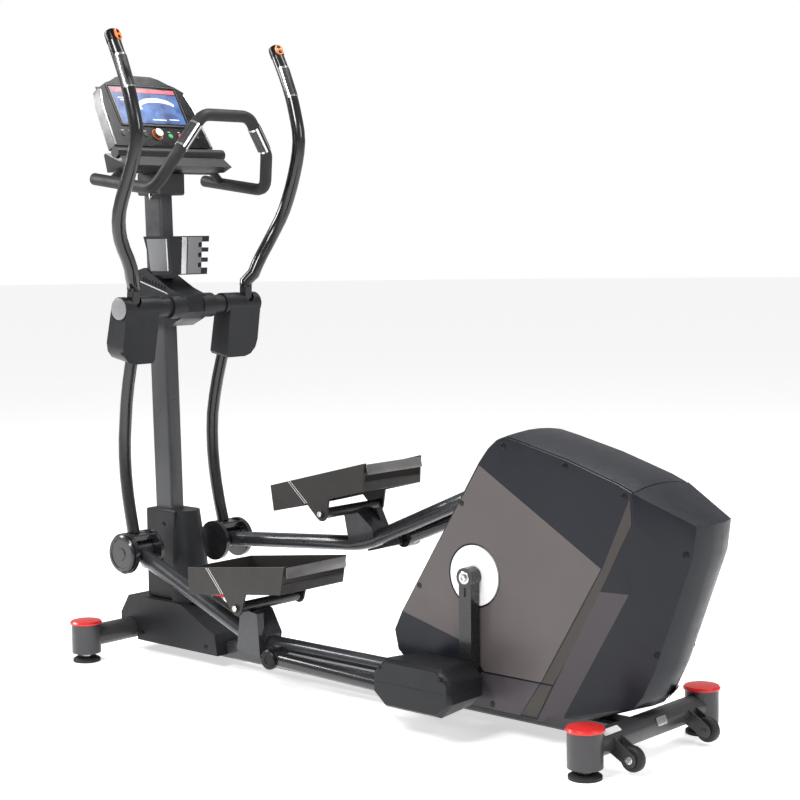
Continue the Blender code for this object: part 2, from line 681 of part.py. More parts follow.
TRAY_Z = MAST_TOP + 0.063
TRAY_X = 0.128
TRAY_HALF = 0.196
shelf = hull([(x, t * y, MAST_TOP + z) for t in (-1, 1) for x, y, z in (
    (0.066, 0.170, 0.010), (0.066, 0.182, 0.063), (0.150, 0.182, 0.014),
    (0.168, TRAY_HALF, 0.029), (0.140, 0.186, 0.055))])
bar = rod_y(TRAY_X, TRAY_Z, 0.0155, 0.002 - TRAY_HALF, TRAY_HALF - 0.002, sides=20)
neck = box((0.070, 0.118), (-0.050, 0.050), (TRAY_Z - 0.010, TRAY_Z + 0.027), bevel=0.003)
keep_mast = mast_block(GAP, MAST_TOP - 0.135, MAST_TOP + GAP)
keep_bracket = box((0.046 - GAP, 0.150 + GAP), (-0.052 - GAP, 0.036 + GAP),
                   (CLAMP_LOW, CLAMP_TOP + GAP))
keep_cross = tube(cross_line, CROSS_R + GAP, resolution=3)
keep_console = moved(box((-0.120, 0.030), (-0.200, 0.200), (-H2 - GAP, 0.100)),
                     (CONSOLE_X, 0.0, CONSOLE_Z), Matrix.Rotation(-CONSOLE_TILT, 3, "Y"))
tray = cut(union(shelf, bar, neck), keep_mast, keep_bracket, keep_cross, keep_console)
part("console_tray", tray, tray_grey, frame)

# ---- drive housing ----------------------------------------------------------------------
SIDE_LINE = ((1.478, 0.062), (1.185, 0.062), (1.053, 0.166), (1.042, 0.214), (1.066, 0.262),
             (1.310, 0.645), (1.336, 0.678), (1.361, 0.699), (1.387, 0.707), (1.436, 0.697),
             (1.562, 0.667), (1.696, 0.626), (1.737, 0.609), (1.742, 0.545))
CROWN_SHARE = (0, 0, 0, 0, 0, 0.3, 0.7, 1, 1, 1, 1, 1, 1, 0)


def shrunk(line, d):
    """The outline moved inwards by d all round, corner by corner."""
    pts = [Vector(p) for p in line]
    out = []
    for a, b, c in zip([pts[-1]] + pts[:-1], pts, pts[1:] + [pts[0]]):
        e1 = (b - a).normalized()
        e2 = (c - b).normalized()
        n1 = Vector((e1.y, -e1.x))
        n2 = Vector((e2.y, -e2.x))
        m = (n1 + n2).normalized()
        out.append(tuple(b + m * (d / max(0.3, m.dot(n1)))))
    return out


for side, s in SIDES:
    panel = plate(SIDE_LINE, *side_pair(HOUSING_HALF - PLATE_T, HOUSING_HALF, s))
    hole = rod_y(CRANK_X, CRANK_Z, DISC_R + 0.0015, 0.0, s * 0.2, sides=32)
    part(f"housing_{side}", cut(panel, hole), cover_grey, frame)



def crowned(y):
    """The housing's outline at width y: its top stands highest in the middle."""
    rise = CROWN * (1 - (y / HOUSING_HALF) ** 2)
    raised = shrunk(SIDE_LINE, -rise)
    return [(a + (c - a) * k, b + (d - b) * k)
            for (a, b), (c, d), k in zip(SIDE_LINE, raised, CROWN_SHARE)]


wrap_half = HOUSING_HALF - PLATE_T - GAP
wrap = loft([(t * wrap_half, crowned(t * wrap_half)) for t in (-1, -0.6, -0.2, 0.2, 0.6, 1)])
core = plate(shrunk(SIDE_LINE, WALL), -0.2, 0.2)
beam_slot = box((1.0, 1.8), (-BEAM_W / 2 - GAP, BEAM_W / 2 + GAP), (0.0, BEAM_TOP + GAP))
rear_open = hull([(x, y, z) for y in (-0.13, 0.13) for x, z in
                  ((1.7285, 0.597), (1.7285, 0.546), (1.470, 0.080), (1.9, 0.080), (1.9, 0.597))])

# The rear cover tapers towards the back and is deepest at its ridge. Each row is a level
# with the side covers' rear edge and the cover's rearmost point there.
REAR_ROWS = ((0.062, 1.478, 1.568), (0.122, 1.511, 1.734), (0.151, 1.527, 1.759),
             (0.216, 1.563, 1.791), (0.476, 1.704, 1.882), (RIDGE_Z, 1.742, REAR_X))
REAR_PLAN = ((0.0, 1.0), (0.27, 0.90), (0.64, 0.765), (0.91, 0.62), (1.0, 0.20))


def rear_block(d):
    """The rear cover's outer form, or its hollow when d is its wall."""
    pts = []
    for z, x_side, x_rear in REAR_ROWS:
        start = x_side - 8 * d
        for share, width in REAR_PLAN:
            x = start + (x_rear - d - start) * share
            y = (REAR_HALF - d) * width
            level = z - (0.3 * d if z == RIDGE_Z else 0.0)
            pts += [(x, y, level), (x, -y, level)]
    for y in (0.0, 0.05, REAR_HALF - 0.001):
        z = 0.609 + CROWN * (1 - (y / HOUSING_HALF) ** 2) - d
        pts += [(1.739 - 8 * d, y - d, z), (1.739 - 8 * d, d - y, z)]
    return hull(pts)


def on_line(a, b, z):
    """The X at height z on the line through a and b."""
    return a[0] + (b[0] - a[0]) * (z - a[1]) / (b[1] - a[1])


LOW_EDGE, MID_EDGE, TOP_EDGE = SIDE_LINE[0], SIDE_LINE[-1], SIDE_LINE[-2]


def rear_edge(shift, far_x):
    """All that lies between the side covers' rear edge, moved by shift, and far_x."""
    return plate([(far_x, 0.0), (on_line(LOW_EDGE, MID_EDGE, 0.0) + shift, 0.0),
                  (MID_EDGE[0] + shift, MID_EDGE[1]),
                  (on_line(TOP_EDGE, MID_EDGE, 0.70) + shift, 0.70), (far_x, 0.70)], -0.2, 0.2)


wrap = cut(wrap, core, beam_slot, rear_open, rear_edge(0.0, 1.9))
part("housing_wrap", wrap, cover_grey, frame)

rear = cut(rear_block(0.0), rear_block(WALL), rear_edge(2 * GAP, 1.2),
           box((1.0, 1.8), (-BEAM_W / 2 - GAP, BEAM_W / 2 + GAP), (0.0, BEAM_TOP + GAP)),
           box((1.4, 1.6), (-REAR_HALF + WALL, REAR_HALF - WALL), (0.0, 0.075)))
part("housing_rear", rear, cover_grey, frame)

# ---- crank, belt and flywheel -----------------------------------------------------------
crank_axis = joint("crank_axis", (CRANK_X, 0.0, CRANK_Z), parent=frame)
spindle = union(rod_y(0.0, 0.0, SPINDLE_R, -CRANK_ARM_IN + GAP, CRANK_ARM_IN - GAP, sides=24),
                rod_y(0.0, 0.0, PULLEY_R, PULLEY_Y - PULLEY_W / 2, PULLEY_Y + PULLEY_W / 2,
                      sides=40))
part("crank_spindle", spindle, steel, crank_axis)
disc_out = HOUSING_HALF + 0.0015
for side, s in SIDES:
    disc = cut(rod_y(0.0, 0.0, DISC_R, s * (disc_out - DISC_T), s * disc_out, sides=36),
               rod_y(0.0, 0.0, SPINDLE_R + GAP, 0.0, s * 0.2, sides=20))
    part(f"crank_disc_{side}", disc, white, crank_axis)
    lift = s
    arm_end = lift * CRANK_R
    y_in = CRANK_ARM_IN
    y_out = CRANK_ARM_IN + CRANK_ARM_T
    web = box((-CRANK_ARM_W / 2, CRANK_ARM_W / 2), side_pair(y_in + 0.002, y_out - 0.002, s),
              (min(0.0, arm_end), max(0.0, arm_end)))
    boss = rod_y(0.0, 0.0, 0.0235, s * y_in, s * y_out, sides=24)
    eye = rod_y(0.0, arm_end, 0.0205, s * y_in, s * y_out, sides=24)
    part(f"crank_arm_{side}", union(web, boss, eye), graphite, crank_axis)

fly_axis = joint("flywheel_axis", (CRANK_X + FLY_X, 0.0, CRANK_Z), parent=frame)
fly = union(rod_y(0.0, 0.0, FLY_R, FLY_Y - FLY_W / 2, FLY_Y + FLY_W / 2, sides=40),
            rod_y(0.0, 0.0, FLY_SHAFT_R, FLY_Y - FLY_W / 2 - 0.006, PULLEY_Y + 0.016, sides=20),
            rod_y(0.0, 0.0, FLY_PULLEY_R, PULLEY_Y - PULLEY_W / 2, PULLEY_Y + PULLEY_W / 2,
                  sides=24))
part("flywheel", fly, iron, fly_axis)


def belt_line(grow):
    """The open belt's line round the crank pulley and the flywheel's pulley."""
    big, small = PULLEY_R + grow, FLY_PULLEY_R + grow
    lean = math.acos((PULLEY_R - FLY_PULLEY_R) / FLY_X)
    pts = []
    for k in range(29):
        a = lean + (2 * math.pi - 2 * lean) * k / 28
        pts.append((CRANK_X + big * math.cos(a), CRANK_Z + big * math.sin(a)))
    for k in range(9):
        a = -lean + 2 * lean * k / 8
        pts.append((fly_x + small * math.cos(a), CRANK_Z + small * math.sin(a)))
    return pts


belt_half = PULLEY_W / 2 - 0.002
belt = cut(plate(belt_line(GAP + BELT_T), PULLEY_Y - belt_half, PULLEY_Y + belt_half),
           plate(belt_line(GAP + 0.0004), 0.0, 0.1))
part("drive_belt", belt, rubber, frame)

magnet_low = CRANK_Z + FLY_R + 0.003
magnet = box((fly_x - 0.045, fly_x + 0.045), (FLY_Y - 0.022, FLY_Y + FLY_W / 2 + 0.006 - GAP),
             (magnet_low, magnet_low + 0.026), bevel=0.002)
part("brake_magnet", magnet, steel, frame)

# ---- the two sides ----------------------------------------------------------------------
HANDLE = ((0.0110, 0.206, 0.028), (0.0258, 0.233, 0.111), (0.0345, 0.278, 0.188),
          (0.0577, 0.304, 0.264), (0.0946, 0.305, 0.366), (0.1133, 0.302, 0.458),
          (0.0938, 0.304, 0.537), (0.0635, 0.306, 0.611), (0.0180, 0.307, 0.694))
GRIP_LENGTH = 0.034


def lower_arm_line(s):
    """From the shroud to the clevis, bowing forward of the line between its pivots."""
    pts = []
    for k in range(13):
        t = k / 12
        down = 0.010 + t * (ARM_LENGTH - 0.048 - 0.010)
        f = down / ARM_LENGTH
        y = 0.172 + (ARM_Y - 0.172) * min(1.0, t * 2.0)
        pts.append(Vector((-ARM_BOW * math.sin(math.pi * f ** 1.08), s * y, -down)))
    return pts


for side, s in SIDES:
    arm_angle, (jx, jz), bar_angle, _ = linkage(s)
    arm_axis = joint(f"arm_axis_{side}", (PIVOT_X, 0.0, PIVOT_Z), arm_angle, frame)

    # The lower arm hangs on a sleeve over the pivot axle and ends in a clevis.
    lower = tube(lower_arm_line(s), LOWER_R, resolution=4)
    sleeve = rod_y(0.0, 0.0, SLEEVE_R, s * (SHROUD_IN + WALL + 0.001),
                   s * (SHROUD_OUT - WALL - 0.002), sides=20)
    lug = box((-0.0045, 0.0215), side_pair(0.193, 0.219, s), (0.0, 0.050), bevel=0.002)
    bridge = box((-0.030, 0.020), side_pair(DRUM_IN, DRUM_OUT, s),
                 (-ARM_LENGTH + 0.032, -ARM_LENGTH + 0.050), bevel=0.003)
    flanges = [rod_y(0.0, -ARM_LENGTH, DRUM_R, s * a, s * (a + FLANGE_T), sides=28)
               for a in (DRUM_IN, DRUM_OUT - FLANGE_T)]
    pin = rod_y(0.0, -ARM_LENGTH, JOINT_PIN_R, s * (DRUM_IN + 0.002), s * (DRUM_OUT - 0.002),
                sides=20)
    bore = rod_y(0.0, 0.0, AXLE_R + RUN, s * 0.05, s * 0.30, sides=24)
    arm_line = lower_arm_line(s)
    arm_bore = tube(arm_line[1:], LOWER_R - STEEL_WALL, resolution=2)
    vent = rod_y(arm_line[2].x, arm_line[2].z, VENT_R, s * 0.120, s * arm_line[2].y, sides=8)
    arm = cut(union(lower, sleeve, lug, bridge, *flanges, pin), bore, arm_bore, vent)
    part(f"lower_arm_{side}", arm, black_gloss, arm_axis)

    # The moving handle is bolted to the lug on that sleeve.
    line = smooth_path([(x, s * y, z) for x, y, z in HANDLE], steps=3)
    foot = [Vector((0.0085, s * 0.206, z)) for z in (0.050 + GAP, 0.062)]
    line = foot + [p for p in line if p.z > 0.075]
    foot_dir = (line[1] - line[0]).normalized()
    tip_dir = (line[-1] - line[-2]).normalized()
    bore_line = [line[0] - 0.01 * foot_dir] + line[1:-1] + [line[-1] + 0.01 * tip_dir]
    handle = cut(tube(line, UPPER_R, resolution=4),
                 tube(bore_line, UPPER_R - STEEL_WALL, resolution=2))
    part(f"handle_{side}", handle, black_gloss, arm_axis)
    top = line[-1]
    rise = (line[-1] - line[-2]).normalized()
    swing = Vector((0, 0, 1)).rotation_difference(rise).to_matrix()
    grip = turned([(0.0, GRIP_LENGTH), (UPPER_R * 0.55, GRIP_LENGTH * 0.97),
                   (UPPER_R * 0.93, GRIP_LENGTH * 0.84), (UPPER_R + 0.001, GRIP_LENGTH * 0.62),
                   (UPPER_R + 0.001, 0.0), (0.0, 0.0)], steps=20)
    moved(grip, top + rise * GAP, swing)
    face_dir = swing @ Vector((1.0, -s * 0.25, 0.0)).normalized()
    plate_at = top + rise * (GRIP_LENGTH * 0.36)
    turn = face_dir.to_track_quat("X", "Z").to_matrix()
    wells = []
    for k, dz in (("up", 0.0075), ("down", -0.0075)):
        place = plate_at + rise * dz + face_dir * UPPER_R
        well = moved(rod_x(0.0, 0.0, 0.0050, -0.007, 0.010, sides=14), place, turn)
        wells.append(well)
        key_axis = joint(f"button_axis_{k}_{side}", place, parent=arm_axis)
        button = moved(rod_x(0.0, 0.0, 0.0045, -0.0045, 0.0022, sides=14), (0, 0, 0), turn)
        part(f"button_{k}_{side}", button, orange, key_axis)
    part(f"grip_cap_{side}", cut(grip, *wells), cover_grey, arm_axis)

    # The shroud is a shell over the sleeve, with a flat body that hangs from it.
    shroud_lean = math.radians(5.5)
    outer = rod_y(0.0, 0.0, 0.0315, s * SHROUD_IN, s * SHROUD_OUT, sides=28)
    form = []
    room = []
    for x, t in ((-0.034, -1), (0.030, 1)):
        spread = 0.006 if t < 0 else 0.0
        form += [(x, s * 0.130, 0.006), (x, s * 0.2445, 0.006), (x - spread, s * 0.2445, -0.100),
                 (x - spread, s * 0.238, -0.124), (x - spread, s * 0.222, -0.141),
                 (x - spread, s * 0.200, -SHROUD_DROP), (x - spread, s * 0.137, -SHROUD_DROP),
                 (x - spread, s * 0.130, -SHROUD_DROP + 0.008)]
        x -= t * 0.0028
        room += [(x, s * 0.133, 0.006), (x, s * 0.2417, 0.006), (x - spread, s * 0.2417, -0.098),
                 (x - spread, s * 0.220, -0.138), (x - spread, s * 0.138, -SHROUD_DROP + 0.003),
                 (x - spread, s * 0.133, -SHROUD_DROP + 0.010)]
    turn = Matrix.Rotation(shroud_lean, 3, "Y")
    body = moved(hull(form), turn=turn)
    room = moved(hull(room), turn=turn)
    hollow = rod_y(0.0, 0.0, 0.0287, s * (SHROUD_IN + WALL), s * (SHROUD_OUT - WALL), sides=28)
    inner_hole = rod_y(0.0, 0.0, AXLE_R + 0.003, s * 0.10, s * 0.15, sides=24)
    axle_hole = rod_y(0.0, 0.0, AXLE_R + 0.003, s * 0.23, s * 0.30, sides=24)
    top_hole = rod_z(0.0085, s * 0.206, UPPER_R + 0.004, 0.0, 0.080, sides=20)
    low_hole = tube([(p[0], p[1], p[2]) for p in lower_arm_line(s)[0:6]], LOWER_R + 0.0015,
                    resolution=4)
    shroud = cut(union(outer, body), union(room, hollow), inner_hole, axle_hole, top_hole,
                 low_hole)
    part(f"shroud_{side}", shroud, cover_grey, arm_axis)

    # ---- pedal bar: origin on the joint pin, +X towards the crank pin ------------------
    bar_axis = joint(f"bar_axis_{side}", (jx - PIVOT_X, 0.0, jz - PIVOT_Z), 0.0, None)
    bar_axis.location = (jx, 0.0, jz)
    bar_axis.rotation_euler = (0.0, bar_angle, 0.0)
    bar_axis.parent = frame
    tilt = math.atan2(-BEND_V, BAR_LENGTH - BEND_U)
    rear_dir = Vector((math.cos(tilt), 0.0, math.sin(tilt)))
    pin_at = Vector((BAR_LENGTH, 0.0, 0.0))
    y_pin = s * BAR_Y
    main = tube(filleted([(0.018, s * ARM_Y, -0.0034), (BEND_U, y_pin, BEND_V),
                          (BAR_LENGTH - 0.004, y_pin, -0.0006)], 0.34, steps=5),
                BAR_R, resolution=4)
    front_eye = rod_y(0.0, 0.0, 0.027, s * (DRUM_IN + FLANGE_T + SWING),
                      s * (DRUM_OUT - FLANGE_T - SWING), sides=24)
    crank_eye = rod_y(BAR_LENGTH, 0.0, 0.031, s * (BOX_IN + WALL + 0.001), s * 0.212, sides=24)
    stub = rod_y(BAR_LENGTH, 0.0, 0.011, s * (CRANK_ARM_IN + CRANK_ARM_T + SWING), s * 0.170,
                 sides=16)
    post = hull([(x, s * y, z) for x, y, z in (
        (BEND_U - 0.034, 0.150, BEND_V + 0.004), (BEND_U + 0.060, 0.150, BEND_V + 0.010),
        (BEND_U - 0.034, 0.205, BEND_V + 0.004), (BEND_U + 0.060, 0.205, BEND_V + 0.010),
        (BEND_U - 0.030, 0.150, -0.010), (BEND_U + 0.018, 0.150, -0.010),
        (BEND_U - 0.030, 0.205, -0.010), (BEND_U + 0.018, 0.205, -0.010),
        (BEND_U + 0.060, 0.150, BEND_V + 0.036), (BEND_U + 0.060, 0.205, BEND_V + 0.036))])
    cheek = hull([(x, s * y, z) for x, y, z in (
        (BEND_U - 0.020, 0.203, BEND_V - 0.022), (BEND_U + 0.066, 0.203, BEND_V - 0.022),
        (BEND_U - 0.020, 0.226, BEND_V - 0.022), (BEND_U + 0.066, 0.226, BEND_V - 0.022),
        (BEND_U - 0.020, 0.203, -0.010), (BEND_U + 0.040, 0.203, -0.010),
        (BEND_U - 0.020, 0.226, -0.010), (BEND_U + 0.040, 0.226, -0.010))])
    lug = box((KNOB_U - 0.060, KNOB_U), side_pair(0.185, LINK_Y - LINK_R - GAP, s),
              (KNOB_V - 0.016, KNOB_V + 0.016), bevel=0.002)
    cross = rod_y(BEND_U, 0.0, CROSS_TUBE_R, s * (PEDAL_IN + PEDAL_WALL + 0.0008),
                  s * (PEDAL_OUT - PEDAL_WALL - 0.0008), sides=16)
    web = box((BEND_U - 0.012, BEND_U + 0.012), side_pair(0.156, 0.200, s), (-0.030, 0.0))
    bar_bore = tube([Vector((BEND_U - 0.42, s * (ARM_Y + 0.18 * (BAR_Y - ARM_Y)),
                             0.18 * BEND_V - 0.0034)),
                     Vector((BEND_U - 0.07, y_pin - s * 0.003, BEND_V + 0.0135))],
                    BAR_R - STEEL_WALL, resolution=2)
    rear_bore = tube([Vector((BEND_U + 0.07, y_pin, BEND_V + 0.0105)),
                      Vector((BAR_LENGTH - 0.04, y_pin, -0.0061))],
                     BAR_R - STEEL_WALL, resolution=2)
    vents = [rod_y(BEND_U - 0.20, 0.6 * BEND_V, VENT_R, s * 0.135, s * 0.165, sides=8),
             rod_y(BAR_LENGTH - 0.07, -0.0106, VENT_R, s * 0.150, s * 0.175, sides=8)]
    bores = [rod_y(0.0, 0.0, JOINT_PIN_R + RUN, s * 0.05, s * 0.25, sides=20),
             rod_y(BEND_U, 0.0, PEDAL_BOLT_R + RUN, 0.0, s * 0.30, sides=16)]
    bar_solid = union(main, front_eye, crank_eye, stub, post, cheek, lug, cross, web)
    bar_solid = cut(bar_solid, bar_bore, rear_bore, *vents, *bores)
    part(f"pedal_bar_{side}", bar_solid, graphite, bar_axis)

    # A second tube runs outside the bar, from the knuckle at the post's foot into the box.
    link_end_u = 1.072
    link_slope = 0.125
    link_dir = Vector((1.0, 0.0, link_slope)).normalized()
    start = Vector((KNOB_U + 0.010, s * LINK_Y, KNOB_V))
    end = start + link_dir * (link_end_u - start.x)
    link = union(tube([start, start.lerp(end, 0.5), end], LINK_R, resolution=4),
                 rod_y(KNOB_U, KNOB_V, 0.026, s * (LINK_Y - LINK_R), s * (LINK_Y + LINK_R),
                       sides=20))
    part(f"link_tube_{side}", link, black_gloss, bar_axis)

    # The crank box is a two-part shell over the crank pin's bearing.
    turn = Matrix.Rotation(-tilt, 3, "Y")
    centre = Vector((BAR_LENGTH - BOX_AHEAD, 0.0, -0.017))
    split = 0.002
    for half, z0, z1 in (("upper", split + GAP, BOX_HEIGHT / 2), ("lower", -BOX_HEIGHT / 2, split)):
        rise_in = BOX_HEIGHT * 0.30
        mid = (z0 + z1) / 2
        ends = (-BOX_LENGTH / 2, BOX_LENGTH / 2)
        edge = z1 if half == "upper" else z0
        flat = z0 if half == "upper" else z1
        lift = -0.036 if half == "upper" else 0.036
        form = []
        room = []
        for y, narrow in ((BOX_IN, 0.006), (BOX_OUT - 0.014, 0.0), (BOX_OUT, 0.008)):
            for e in ends:
                sign = math.copysign(1.0, e)
                form.append((e - sign * narrow, s * y, flat))
                form.append((e - sign * narrow, s * y, edge + lift))
                form.append((e - sign * (0.034 + narrow), s * y,
                             edge - math.copysign(narrow, edge)))
        for y in (BOX_IN + WALL, BOX_OUT - WALL - 0.003):
            for e in ends:
                sign = math.copysign(1.0, e)
                room.append((e - sign * 0.010, s * y, flat - math.copysign(0.004, edge)))
                room.append((e - sign * 0.010, s * y, edge + lift))
                room.append((e - sign * 0.040, s * y, edge - math.copysign(0.008, edge)))
        shell = moved(hull(form), centre, turn)
        cavity = moved(hull(room), centre, turn)
        holes = [tube([(0.90, s * BAR_Y, BEND_V + (0.90 - BEND_U) * math.tan(tilt)),
                       (1.05, s * BAR_Y, BEND_V + (1.05 - BEND_U) * math.tan(tilt))],
                      BAR_R + 0.001, resolution=4),
                 tube([start + link_dir * 0.30, start + link_dir * 0.47], LINK_R + 0.001,
                      resolution=4),
                 rod_y(BAR_LENGTH, 0.0, 0.016, s * 0.14, s * (BOX_IN + WALL + 0.002),
                       sides=20)]
        part(f"crank_box_{half}_{side}", cut(shell, cavity, *holes), cover_grey, bar_axis)

    # ---- pedal: origin on its bolt ------------------------------------------------------
    pitch = PEDAL_PITCH_LEFT if s < 0 else PEDAL_PITCH_RIGHT
    bolt_x = jx + BEND_U * math.cos(bar_angle)
    bolt_z = jz - BEND_U * math.sin(bar_angle)
    pedal_axis = joint(f"pedal_axis_{side}", (bolt_x, 0.0, bolt_z), -pitch, frame)
    floor_z = PEDAL_LOW + 0.006
    tray = hull([(x, s * y, z) for y in (PEDAL_IN, PEDAL_OUT) for x, z in (
        (PEDAL_FRONT, PEDAL_LOW), (PEDAL_FRONT + 0.006, PEDAL_TOP), (PEDAL_REAR, PEDAL_TOP),
        (PEDAL_REAR - 0.022, PEDAL_LOW))])
    well = box((PEDAL_FRONT + PEDAL_WALL + 0.006, PEDAL_REAR - 0.010),
               side_pair(PEDAL_IN + PEDAL_WALL, PEDAL_OUT - PEDAL_WALL, s),
               (floor_z + 0.016, PEDAL_TOP + 0.02))
    rear_gap = box((PEDAL_REAR - 0.030, PEDAL_REAR + 0.02),
                   side_pair(PEDAL_IN + PEDAL_WALL + 0.004, PEDAL_OUT - PEDAL_WALL - 0.004, s),
                   (floor_z + 0.040, PEDAL_TOP + 0.02))
    under = box((PEDAL_FRONT + 0.014, PEDAL_REAR - 0.030),
                side_pair(PEDAL_IN + PEDAL_WALL, PEDAL_OUT - PEDAL_WALL, s),
                (PEDAL_LOW - 0.02, floor_z + 0.010))
    tray = cut(tray, well, rear_gap, under)
    ears = []
    for a in (PEDAL_IN, PEDAL_OUT - PEDAL_WALL):
        ears.append(hull([(x, s * y, z) for y in (a, a + PEDAL_WALL) for x, z in
                          [(-0.052, PEDAL_LOW + 0.008), (0.040, PEDAL_LOW + 0.008)]
                          + [(0.020 * math.cos(t), 0.020 * math.sin(t)) for t in
                             (math.radians(d) for d in range(-180, 1, 30))]]))
    bolt = rod_y(0.0, 0.0, PEDAL_BOLT_R, s * (PEDAL_IN + 0.001), s * (PEDAL_OUT - 0.001), sides=14)
    heads = [rod_y(0.0, 0.0, 0.010, s * PEDAL_OUT - s * 0.001, s * (PEDAL_OUT + 0.005), sides=6),
             rod_y(0.0, 0.0, 0.010, s * (PEDAL_IN - 0.005), s * (PEDAL_IN + 0.001), sides=6)]
    part(f"pedal_{side}", union(tray, *ears, bolt, *heads), pedal_brown, pedal_axis)
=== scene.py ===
import math

import bmesh
import bpy
from mathutils import Matrix, Vector


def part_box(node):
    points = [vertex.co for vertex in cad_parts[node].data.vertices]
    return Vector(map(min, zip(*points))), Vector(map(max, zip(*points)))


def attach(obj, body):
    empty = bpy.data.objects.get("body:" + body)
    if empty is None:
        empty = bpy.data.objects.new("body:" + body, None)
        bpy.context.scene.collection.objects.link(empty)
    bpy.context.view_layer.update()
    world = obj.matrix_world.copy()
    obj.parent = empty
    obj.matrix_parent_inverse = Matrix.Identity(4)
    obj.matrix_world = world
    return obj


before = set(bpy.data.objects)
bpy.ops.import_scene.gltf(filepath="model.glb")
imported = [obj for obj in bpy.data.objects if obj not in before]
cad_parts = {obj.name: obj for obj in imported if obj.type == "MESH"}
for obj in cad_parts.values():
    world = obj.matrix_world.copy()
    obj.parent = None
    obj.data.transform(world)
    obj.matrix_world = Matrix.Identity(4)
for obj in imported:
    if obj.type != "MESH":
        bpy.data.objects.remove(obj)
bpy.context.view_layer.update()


# ---- main beam ------------------------------------------------------------------------
# The beam is a welded steel box tube that carries the mast in front and the drive
# brackets behind. It is sprayed graphite grey with a fine orange-peel texture.
def sprayed(name, colour, shade, roughness, metallic, peel, peel_size, coat=0.0, patch=5.0, shine=0.32):
    """A sprayed or moulded finish: the colour drifts to its shade, the gloss is uneven and
    the skin has a fine peel. A larger peel_size or patch gives a finer grain."""
    finish = bpy.data.materials.new(name)
    finish.use_nodes = True
    tree = finish.node_tree
    add, link = tree.nodes.new, tree.links.new
    skin = tree.nodes["Principled BSDF"]
    skin.inputs["Metallic"].default_value = metallic
    skin.inputs["Specular IOR Level"].default_value = shine
    skin.inputs["Coat Weight"].default_value = coat
    skin.inputs["Coat Roughness"].default_value = 0.10
    place = add("ShaderNodeTexCoord")
    drift = add("ShaderNodeTexNoise")
    drift.inputs["Scale"].default_value = patch
    drift.inputs["Detail"].default_value = 5.0
    tint = add("ShaderNodeValToRGB")
    tint.color_ramp.elements[0].position = 0.32
    tint.color_ramp.elements[0].color = (*shade, 1.0)
    tint.color_ramp.elements[1].position = 0.70
    tint.color_ramp.elements[1].color = (*colour, 1.0)
    handled = add("ShaderNodeTexNoise")
    handled.inputs["Scale"].default_value = 34.0
    handled.inputs["Detail"].default_value = 6.0
    gloss = add("ShaderNodeMapRange")
    gloss.inputs["From Min"].default_value = 0.3
    gloss.inputs["From Max"].default_value = 0.7
    gloss.inputs["To Min"].default_value = roughness - 0.05
    gloss.inputs["To Max"].default_value = roughness + 0.07
    fine = add("ShaderNodeTexNoise")
    fine.inputs["Scale"].default_value = peel_size
    fine.inputs["Detail"].default_value = 3.0
    dimple = add("ShaderNodeBump")
    dimple.inputs["Strength"].default_value = peel
    dimple.inputs["Distance"].default_value = 0.0002
    for texture in (drift, handled, fine):
        link(place.outputs["Object"], texture.inputs["Vector"])
    link(drift.outputs["Fac"], tint.inputs["Fac"])
    link(tint.outputs["Color"], skin.inputs["Base Color"])
    link(handled.outputs["Fac"], gloss.inputs["Value"])
    link(gloss.outputs["Result"], skin.inputs["Roughness"])
    link(fine.outputs["Fac"], dimple.inputs["Height"])
    link(dimple.outputs["Normal"], skin.inputs["Normal"])
    return finish


def soft_shading(crease):
    """Keeps corners sharper than the crease angle and lets round faces run smooth."""
    group = bpy.data.node_groups.new(f"soft_shading_{crease}", "GeometryNodeTree")
    group.interface.new_socket("Geometry", in_out="INPUT", socket_type="NodeSocketGeometry")
    group.interface.new_socket("Geometry", in_out="OUTPUT", socket_type="NodeSocketGeometry")
    add, link = group.nodes.new, group.links.new
    start, end = add("NodeGroupInput"), add("NodeGroupOutput")
    bare = add("GeometryNodeRemoveAttribute")
    bare.inputs["Name"].default_value = "custom_normal"
    faces = add("GeometryNodeSetShadeSmooth")
    edges = add("GeometryNodeSetShadeSmooth")
    edges.domain = "EDGE"
    edges.inputs["Shade Smooth"].default_value = False
    corner = add("GeometryNodeInputMeshEdgeAngle")
    test = add("FunctionNodeCompare")
    test.operation = "GREATER_THAN"
    test.inputs["B"].default_value = math.radians(crease)
    link(start.outputs["Geometry"], bare.inputs["Geometry"])
    link(bare.outputs["Geometry"], faces.inputs["Geometry"])
    link(faces.outputs["Geometry"], edges.inputs["Geometry"])
    link(corner.outputs["Unsigned Angle"], test.inputs["A"])
    link(test.outputs["Result"], edges.inputs["Selection"])
    link(edges.outputs["Geometry"], end.inputs["Geometry"])
    return group


corner_shading = soft_shading(38)


def dress(node, finish, edge=0.0012):
    """Gives a frame piece its finish, a small radius on its corners and smooth round faces."""
    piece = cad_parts[node]
    if not piece.material_slots:
        piece.data.materials.append(finish)
    piece.material_slots[0].link = "OBJECT"
    piece.material_slots[0].material = finish
    weld = piece.modifiers.new("weld", "WELD")
    weld.merge_threshold = 0.00002
    if edge:
        radius = piece.modifiers.new("radius", "BEVEL")
        radius.width = edge
        radius.segments = 2
        radius.limit_method = "ANGLE"
        radius.angle_limit = math.radians(42)
    shading = piece.modifiers.new("shading", "NODES")
    shading.node_group = corner_shading
    level = piece.modifiers.new("level", "WEIGHTED_NORMAL")
    level.keep_sharp = True
    return piece


graphite = sprayed("graphite_paint", (0.066, 0.067, 0.071), (0.050, 0.051, 0.055), 0.32, 0.45, 0.35, 620,
                   coat=0.20)
dress("main_beam", graphite)


